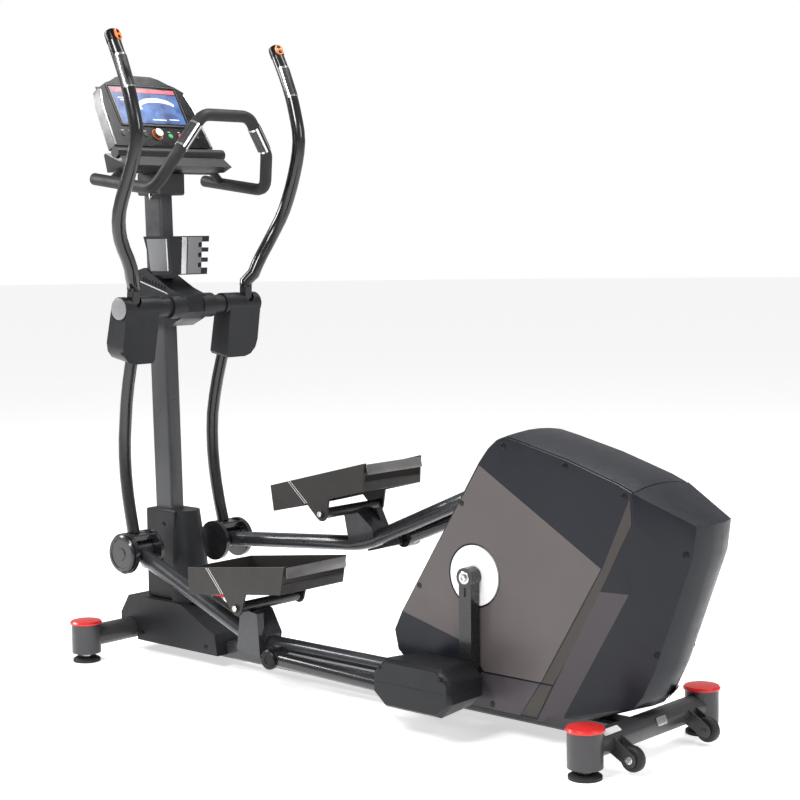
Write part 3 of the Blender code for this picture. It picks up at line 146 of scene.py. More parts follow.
# ---- stabilisers and corner sockets ---------------------------------------------------
# Each stabiliser is a steel cross tube welded between two upright sockets, painted near the
# beam's grey. Red caps of glossy plastic are pressed into the sockets, and a blank label
# and a zinc plate are fixed to the rear tube.
FRONT_X, REAR_X, SOCKET_Y = -0.922, 0.778, 0.232
TUBE_Z, TUBE_R = 0.067, 0.030
socket_grey = sprayed("socket_grey", (0.058, 0.057, 0.060), (0.044, 0.043, 0.046), 0.34, 0.35, 0.35, 620,
                      coat=0.15)
red_plastic = sprayed("red_plastic", (0.62, 0.022, 0.020), (0.55, 0.016, 0.016), 0.27, 0.0, 0.05, 420,
                      coat=0.35)
dress("front_stabiliser", socket_grey)
dress("rear_stabiliser", socket_grey)
for end in ("front", "rear"):
    for side in ("left", "right"):
        dress(f"cap_{end}_{side}", red_plastic, 0.0030)


def finished(bm, name, finish, body, crease=36):
    """Makes a shaped mesh a named piece that rides on a body of the frame."""
    bmesh.ops.remove_doubles(bm, verts=bm.verts, dist=0.000001)
    bmesh.ops.recalc_face_normals(bm, faces=bm.faces)
    mesh = bpy.data.meshes.new(name)
    bm.to_mesh(mesh)
    bm.free()
    mesh.polygons.foreach_set("use_smooth", [True] * len(mesh.polygons))
    mesh.set_sharp_from_angle(angle=math.radians(crease))
    mesh.materials.append(finish)
    piece = bpy.data.objects.new(name, mesh)
    bpy.context.scene.collection.objects.link(piece)
    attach(piece, body)
    return piece


def spun(profile, at, axis, steps=28):
    """A turned shape: a profile of radius and height spun round its own axis."""
    bm = bmesh.new()
    line = [bm.verts.new((r, 0.0, h)) for r, h in profile]
    chain = [bm.edges.new(pair) for pair in zip(line, line[1:])]
    bmesh.ops.spin(bm, geom=line + chain, cent=(0, 0, 0), axis=(0, 0, 1),
                   angle=math.tau, steps=steps, use_merge=True)
    bmesh.ops.remove_doubles(bm, verts=bm.verts, dist=0.000001)
    turn = Vector(axis).to_track_quat("Z", "Y").to_matrix()
    bmesh.ops.rotate(bm, cent=(0, 0, 0), matrix=turn, verts=bm.verts)
    bmesh.ops.translate(bm, vec=at, verts=bm.verts)
    return bm


def joined(*shapes):
    """Several shapes of one material, kept as one piece."""
    whole = bmesh.new()
    for bm in shapes:
        mesh = bpy.data.meshes.new("shape")
        bm.to_mesh(mesh)
        bm.free()
        whole.from_mesh(mesh)
        bpy.data.meshes.remove(mesh)
    return whole


def slab(outline, thick, place, soft=0.0, holes=()):
    """A plate cut to an outline, standing on a plane and facing along its normal."""
    bm = bmesh.new()
    for line in (outline, *holes):
        rim = [bm.verts.new((u, v, 0.0)) for u, v in line]
        for pair in zip(rim, rim[1:] + rim[:1]):
            bm.edges.new(pair)
    bmesh.ops.triangle_fill(bm, use_beauty=True, use_dissolve=False, edges=bm.edges[:])
    raised = bmesh.ops.extrude_face_region(bm, geom=bm.faces[:])
    top = [g for g in raised["geom"] if isinstance(g, bmesh.types.BMVert)]
    bmesh.ops.translate(bm, vec=(0, 0, thick), verts=top)
    bmesh.ops.recalc_face_normals(bm, faces=bm.faces)
    if soft:
        sharp = [e for e in bm.edges if len(e.link_faces) == 2 and e.calc_face_angle() > 1.0
                 and any(v in top for v in e.verts)]
        bmesh.ops.bevel(bm, geom=sharp, offset=soft, offset_type="OFFSET", segments=2,
                        profile=0.5, affect="EDGES", material=-1)
    bmesh.ops.transform(bm, matrix=place, verts=bm.verts)
    return bm


def plane(origin, u, v):
    """The matrix of a plane through origin with those two directions in it."""
    u, v = Vector(u).normalized(), Vector(v).normalized()
    n = u.cross(v)
    return Matrix.Translation(origin) @ Matrix((u, v, n)).transposed().to_4x4()


def rounded(w, h, r, steps=5):
    """The outline of a rectangle with rounded corners, centred on its plane."""
    out = []
    for cx, cy, a0 in ((w / 2 - r, h / 2 - r, 0), (r - w / 2, h / 2 - r, 90),
                       (r - w / 2, r - h / 2, 180), (w / 2 - r, r - h / 2, 270)):
        for i in range(steps + 1):
            a = math.radians(a0 + 90 * i / steps)
            out.append((cx + r * math.cos(a), cy + r * math.sin(a)))
    return out


label_white = sprayed("label_film", (0.74, 0.74, 0.73), (0.66, 0.66, 0.66), 0.42, 0.0, 0.05, 900)
zinc = sprayed("zinc_plate", (0.60, 0.60, 0.59), (0.45, 0.45, 0.45), 0.26, 1.0, 0.08, 700)


def on_rear_tube(y, tilt, depth):
    """A plane on the rear tube, turned up from straight back by tilt and sunk by depth."""
    out = Vector((math.cos(math.radians(tilt)), 0.0, math.sin(math.radians(tilt))))
    return plane(Vector((REAR_X, y, TUBE_Z)) + out * (TUBE_R - depth), (0, 1, 0), (-out.z, 0.0, out.x))


finished(slab(rounded(0.062, 0.016, 0.002), 0.0016, on_rear_tube(-0.158, 58, 0.0012)),
         "rear_tube_label", label_white, "base")
finished(slab(rounded(0.038, 0.020, 0.004), 0.0018, on_rear_tube(0.021, 22, 0.0002), soft=0.0003),
         "rear_tube_plate", zinc, "base")


# ---- levelling feet and transport wheels ----------------------------------------------
# Black rubber feet screw into the sockets from below, each on a moulded mat with a
# locking nut. Two wheels turn on plain bolts behind the rear tube for moving the machine.
rubber = sprayed("foot_rubber", (0.022, 0.022, 0.023), (0.014, 0.014, 0.015), 0.62, 0.0, 0.6, 380)
tyre = sprayed("wheel_tyre", (0.020, 0.020, 0.021), (0.012, 0.012, 0.013), 0.5, 0.0, 0.5, 500)
for end, x in (("front", FRONT_X), ("rear", REAR_X)):
    for side, s in (("left", -1), ("right", 1)):
        dress(f"foot_{end}_{side}", rubber, 0.0015)
        ring = spun([(0.0090, 0.0131), (0.0155, 0.0131), (0.0155, 0.0190), (0.0140, 0.0200),
                     (0.0090, 0.0200), (0.0090, 0.0131)], (x, s * SOCKET_Y, 0.0), (0, 0, 1), steps=6)
        finished(ring, f"foot_nut_{end}_{side}", zinc, f"foot_{end}_{side}", crease=20)
WHEEL_X, WHEEL_Y, WHEEL_Z = 0.846, 0.150, 0.037
FORK_HALF = 0.0162  # from the wheel's middle to the outer face of its fork
RING_FACE = 0.0108  # from the wheel's middle to the face with the raised rings
RING_RADII = (0.0135, 0.0195)
for side, s in (("left", -1), ("right", 1)):
    dress(f"transport_wheel_{side}", tyre, 0.0015)
    head = spun([(0.0, 0.0), (0.0092, 0.0), (0.0092, 0.0012), (0.0070, 0.0020), (0.0070, 0.0052),
                 (0.0058, 0.0066), (0.0030, 0.0066), (0.0028, 0.0048), (0.0, 0.0048)],
                (WHEEL_X, s * (WHEEL_Y + FORK_HALF), WHEEL_Z), (0, s, 0))
    finished(head, f"wheel_bolt_{side}", zinc, "base")
    rings = [spun([(r, RING_FACE), (r + 0.0014, RING_FACE + 0.0005), (r + 0.0028, RING_FACE),
                   (r + 0.0014, RING_FACE - 0.0005), (r, RING_FACE)],
                  (WHEEL_X, s * WHEEL_Y, WHEEL_Z), (0, s, 0), steps=40) for r in RING_RADII]
    finished(joined(*rings), f"wheel_rings_{side}", tyre, f"wheel_{side}")


# ---- base cover and mast boot ---------------------------------------------------------
# Two moulded covers in dark grey ABS hide the joint of beam, front tube and mast. They are
# spark-textured and held by sunk cross-head screws.
cover_plastic = sprayed("cover_plastic", (0.013, 0.0135, 0.0155), (0.009, 0.0095, 0.011), 0.38, 0.0, 0.45, 820,
                        shine=0.25)
screw_black = sprayed("screw_black", (0.012, 0.012, 0.013), (0.008, 0.008, 0.009), 0.35, 0.6, 0.1, 500)
dress("base_cover", cover_plastic, 0.0022)
dress("mast_boot", cover_plastic, 0.0025)


def sunk_screw(at, axis, r=0.0052):
    """A screw head in its moulded recess: a raised ring and a dished head with a small round pit in its middle."""
    ring = spun([(r, -0.0008), (r * 1.28, -0.0008), (r * 1.28, 0.0003), (r * 1.12, 0.0007),
                 (r, 0.0002), (r, -0.0008)], at, axis, steps=24)
    head = spun([(0.0, -0.0008), (r * 0.97, -0.0008), (r * 0.97, -0.0002), (r * 0.60, 0.0004),
                 (r * 0.26, 0.0004), (r * 0.20, -0.0003), (0.0, -0.0003)], at, axis, steps=24)
    return joined(ring, head)


def touch(node, start, way):
    """Where a straight line first meets a frame piece, and which way that face looks."""
    met, at, facing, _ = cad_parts[node].ray_cast(Vector(start), Vector(way).normalized())
    assert met, f"nothing of {node} lies that way"
    return at, facing


OUTSIDE = 0.4  # beyond the machine's side, where a line for touch() starts
COVER_SCREWS = ((-0.868, 0.060), (-0.606, 0.056))
BOOT_SCREWS = ((-0.780, 0.215), (-0.800, 0.372))
BOOT_SIDE = 0.0462
heads = []
for s in (-1, 1):
    for x, z in COVER_SCREWS:
        at, facing = touch("base_cover", (x, s * OUTSIDE, z), (0, -s, 0))
        heads.append(sunk_screw(at + facing * 0.0002, facing, 0.0056))
    for x, z in BOOT_SCREWS:
        heads.append(sunk_screw((x, s * BOOT_SIDE, z), (0, s, 0)))
finished(joined(*heads), "base_cover_screws", screw_black, "base")


# ---- mast -----------------------------------------------------------------------------
# The mast is a rolled steel box tube in the beam's graphite paint. It stands on the beam's
# front end inside the boot, and its long edges are well rounded.
dress("mast", graphite, 0.0040)


# ---- arm pivot ------------------------------------------------------------------------
# A ground steel shaft crosses the mast inside a moulded cover, and carries both swinging
# arms. A pale trim line and a ribbed strip run along each side of the cover.
PIVOT = (-0.728, 0.0, 0.981)
PIVOT_SIDE = 0.0441
ground_steel = sprayed("ground_steel", (0.62, 0.62, 0.61), (0.50, 0.50, 0.50), 0.22, 1.0, 0.06, 900)
trim_white = sprayed("trim_silver", (0.62, 0.62, 0.63), (0.52, 0.52, 0.54), 0.30, 0.55, 0.05, 700)
dress("pivot_axle", ground_steel, 0.0)
dress("pivot_cover", cover_plastic, 0.0020)
TRIM = ((-0.878, 1.047), (-0.775, 1.018), (-0.728, 0.997))
TRIM_HALF = 0.0016
RIBS, RIB_PITCH, RIB_WIDE, RIB_HIGH = 8, 0.0125, 0.0075, 0.0126
RIB_START, RIB_FALL = (-0.870, 1.04976), 0.28


def left_side(y):
    """A plane across the machine's left side, facing out, with x along it and z up it."""
    return plane((0, -y, 0), (1, 0, 0), (0, 0, 1))


def for_side(bm, s):
    """Leaves a shape made on the left as it is, and mirrors it for the right."""
    bmesh.ops.scale(bm, vec=(1, -s, 1), verts=bm.verts)
    return bm


for side, s in (("left", -1), ("right", 1)):
    band = [(x, z + TRIM_HALF) for x, z in TRIM] + [(x, z - TRIM_HALF) for x, z in reversed(TRIM)]
    line = slab(band, 0.0009, left_side(PIVOT_SIDE))
    ribs = []
    for i in range(RIBS):
        x = RIB_START[0] + RIB_PITCH * i
        z = RIB_START[1] - RIB_PITCH * i * RIB_FALL
        drop = RIB_WIDE * RIB_FALL
        ribs.append(slab([(x, z), (x + RIB_WIDE, z - drop), (x + RIB_WIDE, z - drop + RIB_HIGH), (x, z + RIB_HIGH)],
                         0.0012, left_side(PIVOT_SIDE), soft=0.0003))
    finished(for_side(line, s), f"pivot_trim_{side}", trim_white, "base")
    finished(for_side(joined(*ribs), s), f"pivot_grille_{side}", screw_black, "base")


# ---- bottle holder --------------------------------------------------------------------
# A moulded tray on the mast holds a bottle and a phone. Light grey panels are snapped on to
# its back and its left cheek, each with a pale stripe along one edge.
dress("bottle_holder", cover_plastic, 0.0020)


def shifted(outline, u, v):
    """An outline moved across its plane."""
    return [(a + u, b + v) for a, b in outline]


panel_grey = sprayed("panel_grey", (0.180, 0.182, 0.190), (0.150, 0.152, 0.160), 0.36, 0.1, 0.25, 700)
behind = plane((-0.7400, 0.0, 1.0665), (0, 1, 0), (0.0080, 0.0, 0.1060))
RECESS_MIDDLES = (0.0255, 0.0535, 0.0815)
CHEEK_LOW, CHEEK_HIGH = -0.046, 0.044
finished(slab([(-0.016, 0.002), (0.002, 0.002), (0.002, 0.103), (-0.016, 0.103)], 0.0010, behind, soft=0.0003),
         "holder_stripe", trim_white, "base")
finished(slab([(0.006, 0.002), (0.056, 0.002), (0.057, 0.103), (0.006, 0.103)], 0.0012, behind, soft=0.0004),
         "holder_panel", panel_grey, "base")
# Three dark patches on the back panel are painted shade, standing for the shadow in its recesses.
recess_shades = [slab(shifted(rounded(0.012, 0.013, 0.003), 0.0500, v), 0.0016, behind, soft=0.0003)
            for v in RECESS_MIDDLES]
finished(joined(*recess_shades), "holder_recess_shades", screw_black, "base")
at, facing = touch("bottle_holder", (-0.772, -OUTSIDE, 1.122), (0, 1, 0))
cheek_up = (Vector((0, 0, 1)) - facing * facing.z).normalized()
cheek = plane(at - facing * 0.0016, cheek_up.cross(facing), cheek_up)
finished(slab([(-0.030, CHEEK_LOW), (0.022, CHEEK_LOW), (0.029, CHEEK_HIGH), (-0.030, CHEEK_HIGH)],
              0.0026, cheek, soft=0.0006), "holder_cheek", panel_grey, "base")
finished(slab([(0.0225, CHEEK_LOW), (0.0262, CHEEK_LOW), (0.0332, CHEEK_HIGH), (0.0295, CHEEK_HIGH)],
              0.0028, cheek, soft=0.0004), "holder_cheek_trim", trim_white, "base")


# ---- fixed handlebar ------------------------------------------------------------------
# One bent steel tube under black foam grips makes both fixed handles. A clamp holds it to
# the mast with a short cam lever, and its front ends have pressed plugs.
grip_foam = sprayed("grip_foam", (0.016, 0.015, 0.016), (0.010, 0.010, 0.011), 0.58, 0.0, 0.8, 700)
dress("fixed_handlebar", grip_foam, 0.0010)
for side, s in (("left", -1), ("right", 1)):
    plug = spun([(0.0, -0.002), (0.0160, -0.002), (0.0165, 0.0), (0.0160, 0.0030), (0.0120, 0.0050),
                 (0.0, 0.0058)], (-0.8722, s * 0.200, 1.3281), (-1, 0, 0.13))
    finished(plug, f"bar_end_plug_{side}", rubber, "base")
lever = spun([(0.0, 0.0), (0.0046, 0.0), (0.0040, 0.018), (0.0052, 0.036), (0.0050, 0.040), (0.0, 0.0415)],
             (-0.818, -0.0555, 1.306), (0.55, -0.35, -0.75))
boss = spun([(0.0, -0.004), (0.0085, -0.004), (0.0085, 0.003), (0.0070, 0.0045), (0.0, 0.0045)],
            (-0.818, -0.0560, 1.306), (0, -1, 0))
finished(joined(lever, boss), "clamp_lever", zinc, "base")


# ---- console --------------------------------------------------------------------------
# The console is a glossy black moulded case on the mast, leaning back thirty degrees. A
# glass screen sits in a bezel over a row of keys and a turned knob in an orange ring.
console_black = sprayed("console_black", (0.006, 0.006, 0.007), (0.004, 0.004, 0.005), 0.20, 0.0, 0.06, 600,
                        shine=0.16)
glass = sprayed("screen_glass", (0.006, 0.007, 0.010), (0.004, 0.005, 0.008), 0.10, 0.0, 0.01, 300, coat=0.2)
tray_dark = sprayed("tray_dark", (0.020, 0.020, 0.022), (0.014, 0.014, 0.016), 0.38, 0.1, 0.30, 700)
silver_trim = sprayed("silver_trim", (0.66, 0.66, 0.68), (0.56, 0.56, 0.58), 0.24, 0.9, 0.05, 800)
key_green = sprayed("key_green", (0.03, 0.36, 0.10), (0.02, 0.28, 0.07), 0.32, 0.0, 0.08, 500, coat=0.3)
ring_orange = sprayed("ring_orange", (0.74, 0.20, 0.03), (0.62, 0.15, 0.02), 0.30, 0.0, 0.08, 500, coat=0.3)
legend_white = sprayed("legend_white", (0.72, 0.72, 0.72), (0.62, 0.62, 0.62), 0.45, 0.0, 0.02, 900)
dress("console_housing", console_black, 0.0025)
dress("console_screen", glass, 0.0)
dress("console_tray", tray_dark, 0.0020)
dress("console_dial", zinc, 0.0006)
dress("key_start", key_green, 0.0008)
dress("key_stop", red_plastic, 0.0008)
CONSOLE_AT, CONSOLE_LEAN = (-0.870, 0.0, 1.518), -30
console_frame = Matrix.Translation(CONSOLE_AT) @ Matrix.Rotation(math.radians(CONSOLE_LEAN), 4, "Y")


def on_console(height):
    """The console's face, raised by height, with its first direction across to the right."""
    return console_frame @ plane((height, 0.0, 0.0), (0, 1, 0), (0, 0, 1))


def glowing(name, low, high, strength):
    """A lit picture: two colours blended by soft clouds, with a faint raster."""
    finish = sprayed(name, high, low, 0.20, 0.0, 0.02, 1500, patch=26.0)
    skin = finish.node_tree.nodes["Principled BSDF"]
    tint = next(n for n in finish.node_tree.nodes if n.type == "VALTORGB")
    finish.node_tree.links.new(tint.outputs["Color"], skin.inputs["Emission Color"])
    skin.inputs["Emission Strength"].default_value = strength
    return finish


picture_blue = glowing("picture_blue", (0.010, 0.022, 0.085), (0.055, 0.13, 0.34), 0.45)
picture_pink = glowing("picture_pink", (0.55, 0.06, 0.09), (0.80, 0.16, 0.20), 0.35)
picture_pale = glowing("picture_pale", (0.45, 0.55, 0.70), (0.78, 0.84, 0.92), 0.40)
PICTURE_WIDE, FILM = 0.228, 0.0002
PICTURE_AT, SHAPES_AT = 0.0007, 0.00092
BARS = ((-0.080, 0.040, 0.040), (-0.080, 0.033, 0.028), (0.074, -0.026, 0.036), (0.020, -0.028, 0.050),
        (-0.060, -0.030, 0.020))
finished(slab(rounded(0.256, 0.138, 0.007), 0.0012, on_console(0.0001) @ Matrix.Translation((0, 0.016, 0)),
              soft=0.0005, holes=[rounded(0.2385, 0.1205, 0.003)]),
         "screen_bezel", console_black, "base")
finished(slab(shifted(rounded(PICTURE_WIDE, 0.098, 0.001), 0, 0.009), FILM, on_console(PICTURE_AT)),
         "screen_picture", picture_blue, "base")
finished(slab(shifted(rounded(PICTURE_WIDE, 0.012, 0.001), 0, 0.066), FILM, on_console(PICTURE_AT)),
         "screen_strip", picture_pink, "base")
turns = [math.radians(d) for d in range(20, 201, 12)]
sweep = [(0.070 * math.cos(a), 0.030 * math.sin(a)) for a in turns]
sweep += [(0.062 * math.cos(a) + 0.003, 0.018 * math.sin(a) - 0.002) for a in reversed(turns)]
shapes = [slab(shifted(sweep, 0.030, 0.014), FILM, on_console(SHAPES_AT))]
for u, v, w in BARS:
    shapes.append(slab(shifted(rounded(w, 0.0032, 0.001), u, v), FILM, on_console(SHAPES_AT)))
finished(joined(*shapes), "screen_shapes", picture_pale, "base")
ring = spun([(0.0146, 0.0), (0.0172, 0.0), (0.0172, 0.0010), (0.0160, 0.0018), (0.0146, 0.0010), (0.0146, 0.0)],
            (0, 0, 0), (1, 0, 0), steps=36)
bmesh.ops.transform(ring, matrix=console_frame @ Matrix.Translation((0.0002, -0.010, -0.076)), verts=ring.verts)
finished(ring, "dial_ring", ring_orange, "base")
KEYS = ((-0.130, -0.078), (-0.104, -0.078), (-0.078, -0.078), (-0.052, -0.078), (0.108, -0.080),
        (0.134, -0.080))
keys = []
for u, v in KEYS:
    key = spun([(0.0, 0.0), (0.0070, 0.0), (0.0070, 0.0011), (0.0062, 0.0019), (0.0, 0.0021)],
               (0, 0, 0), (1, 0, 0), steps=20)
    bmesh.ops.transform(key, matrix=console_frame @ Matrix.Translation((0.0001, u, v)), verts=key.verts)
    keys.append(key)
finished(joined(*keys), "console_keys", tray_dark, "base")
LEGENDS = [(u, v + 0.012) for u, v in KEYS[:4]]
LEGENDS += [(0.036, -0.067), (0.072, -0.067)]
LEGENDS += [(u, v + 0.012) for u, v in KEYS[4:]]
legends = [slab(shifted(rounded(0.010, 0.0014, 0.0006, 2), u, v), FILM, on_console(0.0002)) for u, v in LEGENDS]
finished(joined(*legends), "console_legends", legend_white, "base")
TRIM_LINE = ((0.1765, -0.112), (0.1655, 0.016), (0.1520, 0.064), (0.1470, 0.062), (0.1605, 0.015),
             (0.1700, -0.112))
for side, s in (("left", -1), ("right", 1)):
    strip = slab([(s * u, v) for u, v in TRIM_LINE], 0.0012, on_console(0.0001), soft=0.0003)
    finished(strip, f"console_trim_{side}", silver_trim, "base")
    button = slab(shifted(rounded(0.006, 0.018, 0.0025), s * 0.163, -0.030), 0.0022, on_console(0.0003), soft=0.0006)
    finished(button, f"console_side_button_{side}", console_black, "base")


# ---- crank and drive ------------------------------------------------------------------
# Forged crank arms are clamped on a steel spindle by hexagon bolts. White moulded discs
# close the side covers; the belt, the flywheel and the brake magnet run inside.
white_plastic = sprayed("white_plastic", (0.78, 0.78, 0.77), (0.70, 0.70, 0.69), 0.34, 0.0, 0.10, 420, coat=0.2)
iron = sprayed("cast_iron", (0.10, 0.10, 0.10), (0.06, 0.06, 0.06), 0.42, 0.85, 0.5, 260)
crank_paint = sprayed("crank_black_paint", (0.016, 0.016, 0.017), (0.011, 0.011, 0.012), 0.26, 0.25, 0.18, 520,
                      coat=0.45)
CRANK = (0.373, 0.376)
CRANK_FACE = 0.1481  # the arms' outer faces
CLAMP = 0.034        # from the spindle along the arm to its clamp
for side in ("left", "right"):
    dress(f"crank_arm_{side}", crank_paint, 0.0030)
    dress(f"crank_disc_{side}", white_plastic, 0.0015)
dress("crank_spindle", ground_steel, 0.0)
dress("flywheel", iron, 0.0010)
dress("drive_belt", rubber, 0.0)
dress("brake_magnet", ground_steel, 0.0005)
for side, s in (("left", -1), ("right", 1)):
    washer = spun([(0.0, 0.0), (0.0150, 0.0), (0.0150, 0.0014), (0.0140, 0.0020), (0.0, 0.0020)],
                  (CRANK[0], s * 0.1482, CRANK[1]), (0, s, 0), steps=32)
    head = spun([(0.0, 0.0), (0.0095, 0.0), (0.0095, 0.0040), (0.0086, 0.0052), (0.0050, 0.0052),
                 (0.0044, 0.0030), (0.0, 0.0030)], (CRANK[0], s * 0.1502, CRANK[1]), (0, s, 0), steps=6)
    finished(joined(washer, head), f"crank_bolt_{side}", zinc, "crank", crease=25)
    clamp_z = CRANK[1] + s * CLAMP
    # A dark film on each arm's face is painted shade, standing for the shadow inside the clamp's slit.
    slit_shade = slab(rounded(0.0022, 0.022, 0.001, 2), 0.0006,
                plane((CRANK[0], s * (CRANK_FACE - 0.0006), clamp_z), (-s, 0, 0), (0, 0, 1)))
    finished(slit_shade, f"crank_slit_shade_{side}", screw_black, "crank")
    pinch = spun([(0.0, -0.0005), (0.0050, -0.0005), (0.0050, 0.0022), (0.0042, 0.0030), (0.0024, 0.0030),
                  (0.0022, 0.0012), (0.0, 0.0012)], (CRANK[0] - 0.0185, s * 0.1310, clamp_z), (-1, 0, 0), steps=18)
    finished(pinch, f"crank_pinch_bolt_{side}", zinc, "crank")


# ---- drive housing --------------------------------------------------------------------
# Two flat side covers, a crowned wrap and a tapered rear cover are moulded in dark navy
# ABS and screwed together. Satin films in taupe and mauve are bonded to the sides. Flat
# olive-brown strips along each side's rear edge are painted shading: they stand in for the
# bevel there and the tone it takes in the light. A thin dark line low on each side is
# painted shade for the groove along the cover's step. The mains inlet with its switch sits
# low in the rear cover.
NAVY, NAVY_SHADE = (0.0095, 0.0105, 0.0155), (0.007, 0.0078, 0.012)
navy = sprayed("housing_navy", NAVY, NAVY_SHADE, 0.34, 0.0, 0.30, 900, coat=0.04, patch=3.0, shine=0.22)
rear_navy = sprayed("rear_cover_navy", NAVY, NAVY_SHADE, 0.34, 0.0, 0.30, 900, coat=0.04, patch=3.0, shine=0.22)
taupe = sprayed("film_taupe", (0.092, 0.078, 0.077), (0.078, 0.066, 0.066), 0.38, 0.15, 0.10, 1200,
                coat=0.06, patch=3.0)
# Olive brown is painted shading: the tone the bevelled rear edge of each side cover takes in the light, laid flat on
# the side.
olive_bevel_shading = sprayed("olive_bevel_shading_film", (0.042, 0.035, 0.031), (0.034, 0.028, 0.026), 0.38, 0.15, 0.10, 1200,
                coat=0.06, patch=3.0)
mauve = sprayed("film_mauve", (0.052, 0.045, 0.051), (0.043, 0.037, 0.043), 0.38, 0.10, 0.10, 1200,
                coat=0.05, patch=3.0)


def banded(finish, colour, normal, reach, top):
    """Colours the part of a cover that lies before a slanting line and under a level."""
    tree = finish.node_tree
    add, link = tree.nodes.new, tree.links.new
    skin = tree.nodes["Principled BSDF"]
    place = next(n for n in tree.nodes if n.type == "TEX_COORD")
    tint = next(n for n in tree.nodes if n.type == "VALTORGB")
    along = add("ShaderNodeVectorMath")
    along.operation = "DOT_PRODUCT"
    along.inputs[1].default_value = normal
    before = add("ShaderNodeMath")
    before.operation = "LESS_THAN"
    before.inputs[1].default_value = reach
    level = add("ShaderNodeSeparateXYZ")
    under = add("ShaderNodeMath")
    under.operation = "LESS_THAN"
    under.inputs[1].default_value = top
    both = add("ShaderNodeMath")
    both.operation = "MULTIPLY"
    paint = add("ShaderNodeMix")
    paint.data_type = "RGBA"
    paint.inputs["B"].default_value = (*colour, 1.0)
    link(place.outputs["Object"], along.inputs[0])
    link(along.outputs["Value"], before.inputs[0])
    link(place.outputs["Object"], level.inputs["Vector"])
    link(level.outputs["Z"], under.inputs[0])
    link(before.outputs["Value"], both.inputs[0])
    link(under.outputs["Value"], both.inputs[1])
    link(both.outputs["Value"], paint.inputs["Factor"])
    link(tint.outputs["Color"], paint.inputs["A"])
    link(paint.outputs["Result"], skin.inputs["Base Color"])


BAND_EDGE, BAND_REACH, BAND_TOP = (0.8648, 0.0, -0.502), 0.4997, 0.383
banded(rear_navy, (0.050, 0.043, 0.049), BAND_EDGE, BAND_REACH, BAND_TOP)
for name in ("housing_left", "housing_right"):
    dress(name, navy, 0.0030)
dress("housing_wrap", navy, 0.0015)
dress("housing_rear", rear_navy, 0.0040)
SIDE_Y = 0.1105
TAUPE = ((0.392, 0.636), (0.734, 0.434), (0.567, 0.153), (0.402, 0.153), (0.326, 0.218), (0.150, 0.262),
         (0.152, 0.270), (0.388, 0.635))
# The olive outlines are painted shading of the bevel along each cover's rear edge, above and below its step.
OLIVE_BEVEL_SHADING = ((0.810, 0.598), (0.737, 0.434), (0.661, 0.304), (0.570, 0.153), (0.601, 0.153), (0.673, 0.268),
         (0.735, 0.388), (0.814, 0.540))
LOWER_BEVEL_SHADING = ((0.567, 0.149), (0.598, 0.149), (0.556, 0.070), (0.511, 0.070))
FOOT_BAND = ((0.392, 0.149), (0.563, 0.149), (0.507, 0.066), (0.330, 0.066))
# Outline of the painted shade line along the side cover's step.
SEAM_SHADE = ((0.402, 0.1495), (0.599, 0.1495), (0.599, 0.1517), (0.402, 0.1517))
DISC_HOLE = 0.0765
SIDE_SCREWS = ((0.460, 0.687), (0.635, 0.655), (0.794, 0.601), (0.336, 0.544), (0.203, 0.332), (0.426, 0.079))
REAR_SCREWS = ((0.930, 0.482), (0.855, 0.252))
HOUSING_SCREW_R = 0.0058


def ring_outline(u, v, r, steps=48):
    """A round outline."""
    return [(u + r * math.cos(math.tau * i / steps), v + r * math.sin(math.tau * i / steps)) for i in range(steps)]


for side, s in (("left", -1), ("right", 1)):
    for name, outline, finish, holes in (
            ("taupe_film", TAUPE, taupe, [ring_outline(CRANK[0], CRANK[1], DISC_HOLE)]),
            ("olive_bevel_shading_strip", OLIVE_BEVEL_SHADING, olive_bevel_shading, []), ("lower_bevel_shading_strip", LOWER_BEVEL_SHADING, olive_bevel_shading, []), ("foot_film", FOOT_BAND, mauve, [])):
        film = slab(outline, 0.0005, left_side(SIDE_Y + 0.0001), holes=holes)
        finished(for_side(film, s), f"{name}_{side}", finish, "base")
    heads = [sunk_screw((x, s * (SIDE_Y + 0.0006), z), (0, s, 0), HOUSING_SCREW_R) for x, z in SIDE_SCREWS]
    finished(joined(*heads), f"housing_screws_{side}", screw_black, "base")
    # A thin dark film along the step low on each side cover is painted shade, standing for the shadow in the groove
    # there.
    seam_shade = slab(SEAM_SHADE, 0.0003, left_side(SIDE_Y + 0.0007))
    finished(for_side(seam_shade, s), f"housing_seam_shade_{side}", screw_black, "base")

heads = []
for s in (-1, 1):
    for x, z in REAR_SCREWS:
        at, facing = touch("housing_rear", (x, s * OUTSIDE, z), (0, -s, 0))
        heads.append(sunk_screw(at + facing * 0.0003, facing, HOUSING_SCREW_R))
finished(joined(*heads), "rear_cover_screws", screw_black, "base")
at, facing = touch("housing_rear", (1.2, 0.030, 0.150), (-1, 0, 0))
inlet_up = Vector((0, 0, 1)) - facing * facing.z
inlet = plane(at + facing * 0.0002, inlet_up.cross(facing), inlet_up)
finished(slab(rounded(0.052, 0.030, 0.004), 0.0014, inlet, soft=0.0004),
         "mains_inlet_plate", screw_black, "base")
rocker = slab(shifted(rounded(0.012, 0.018, 0.0015), 0.014, 0), 0.0036, inlet, soft=0.0008)
finished(rocker, "mains_switch", red_plastic, "base")


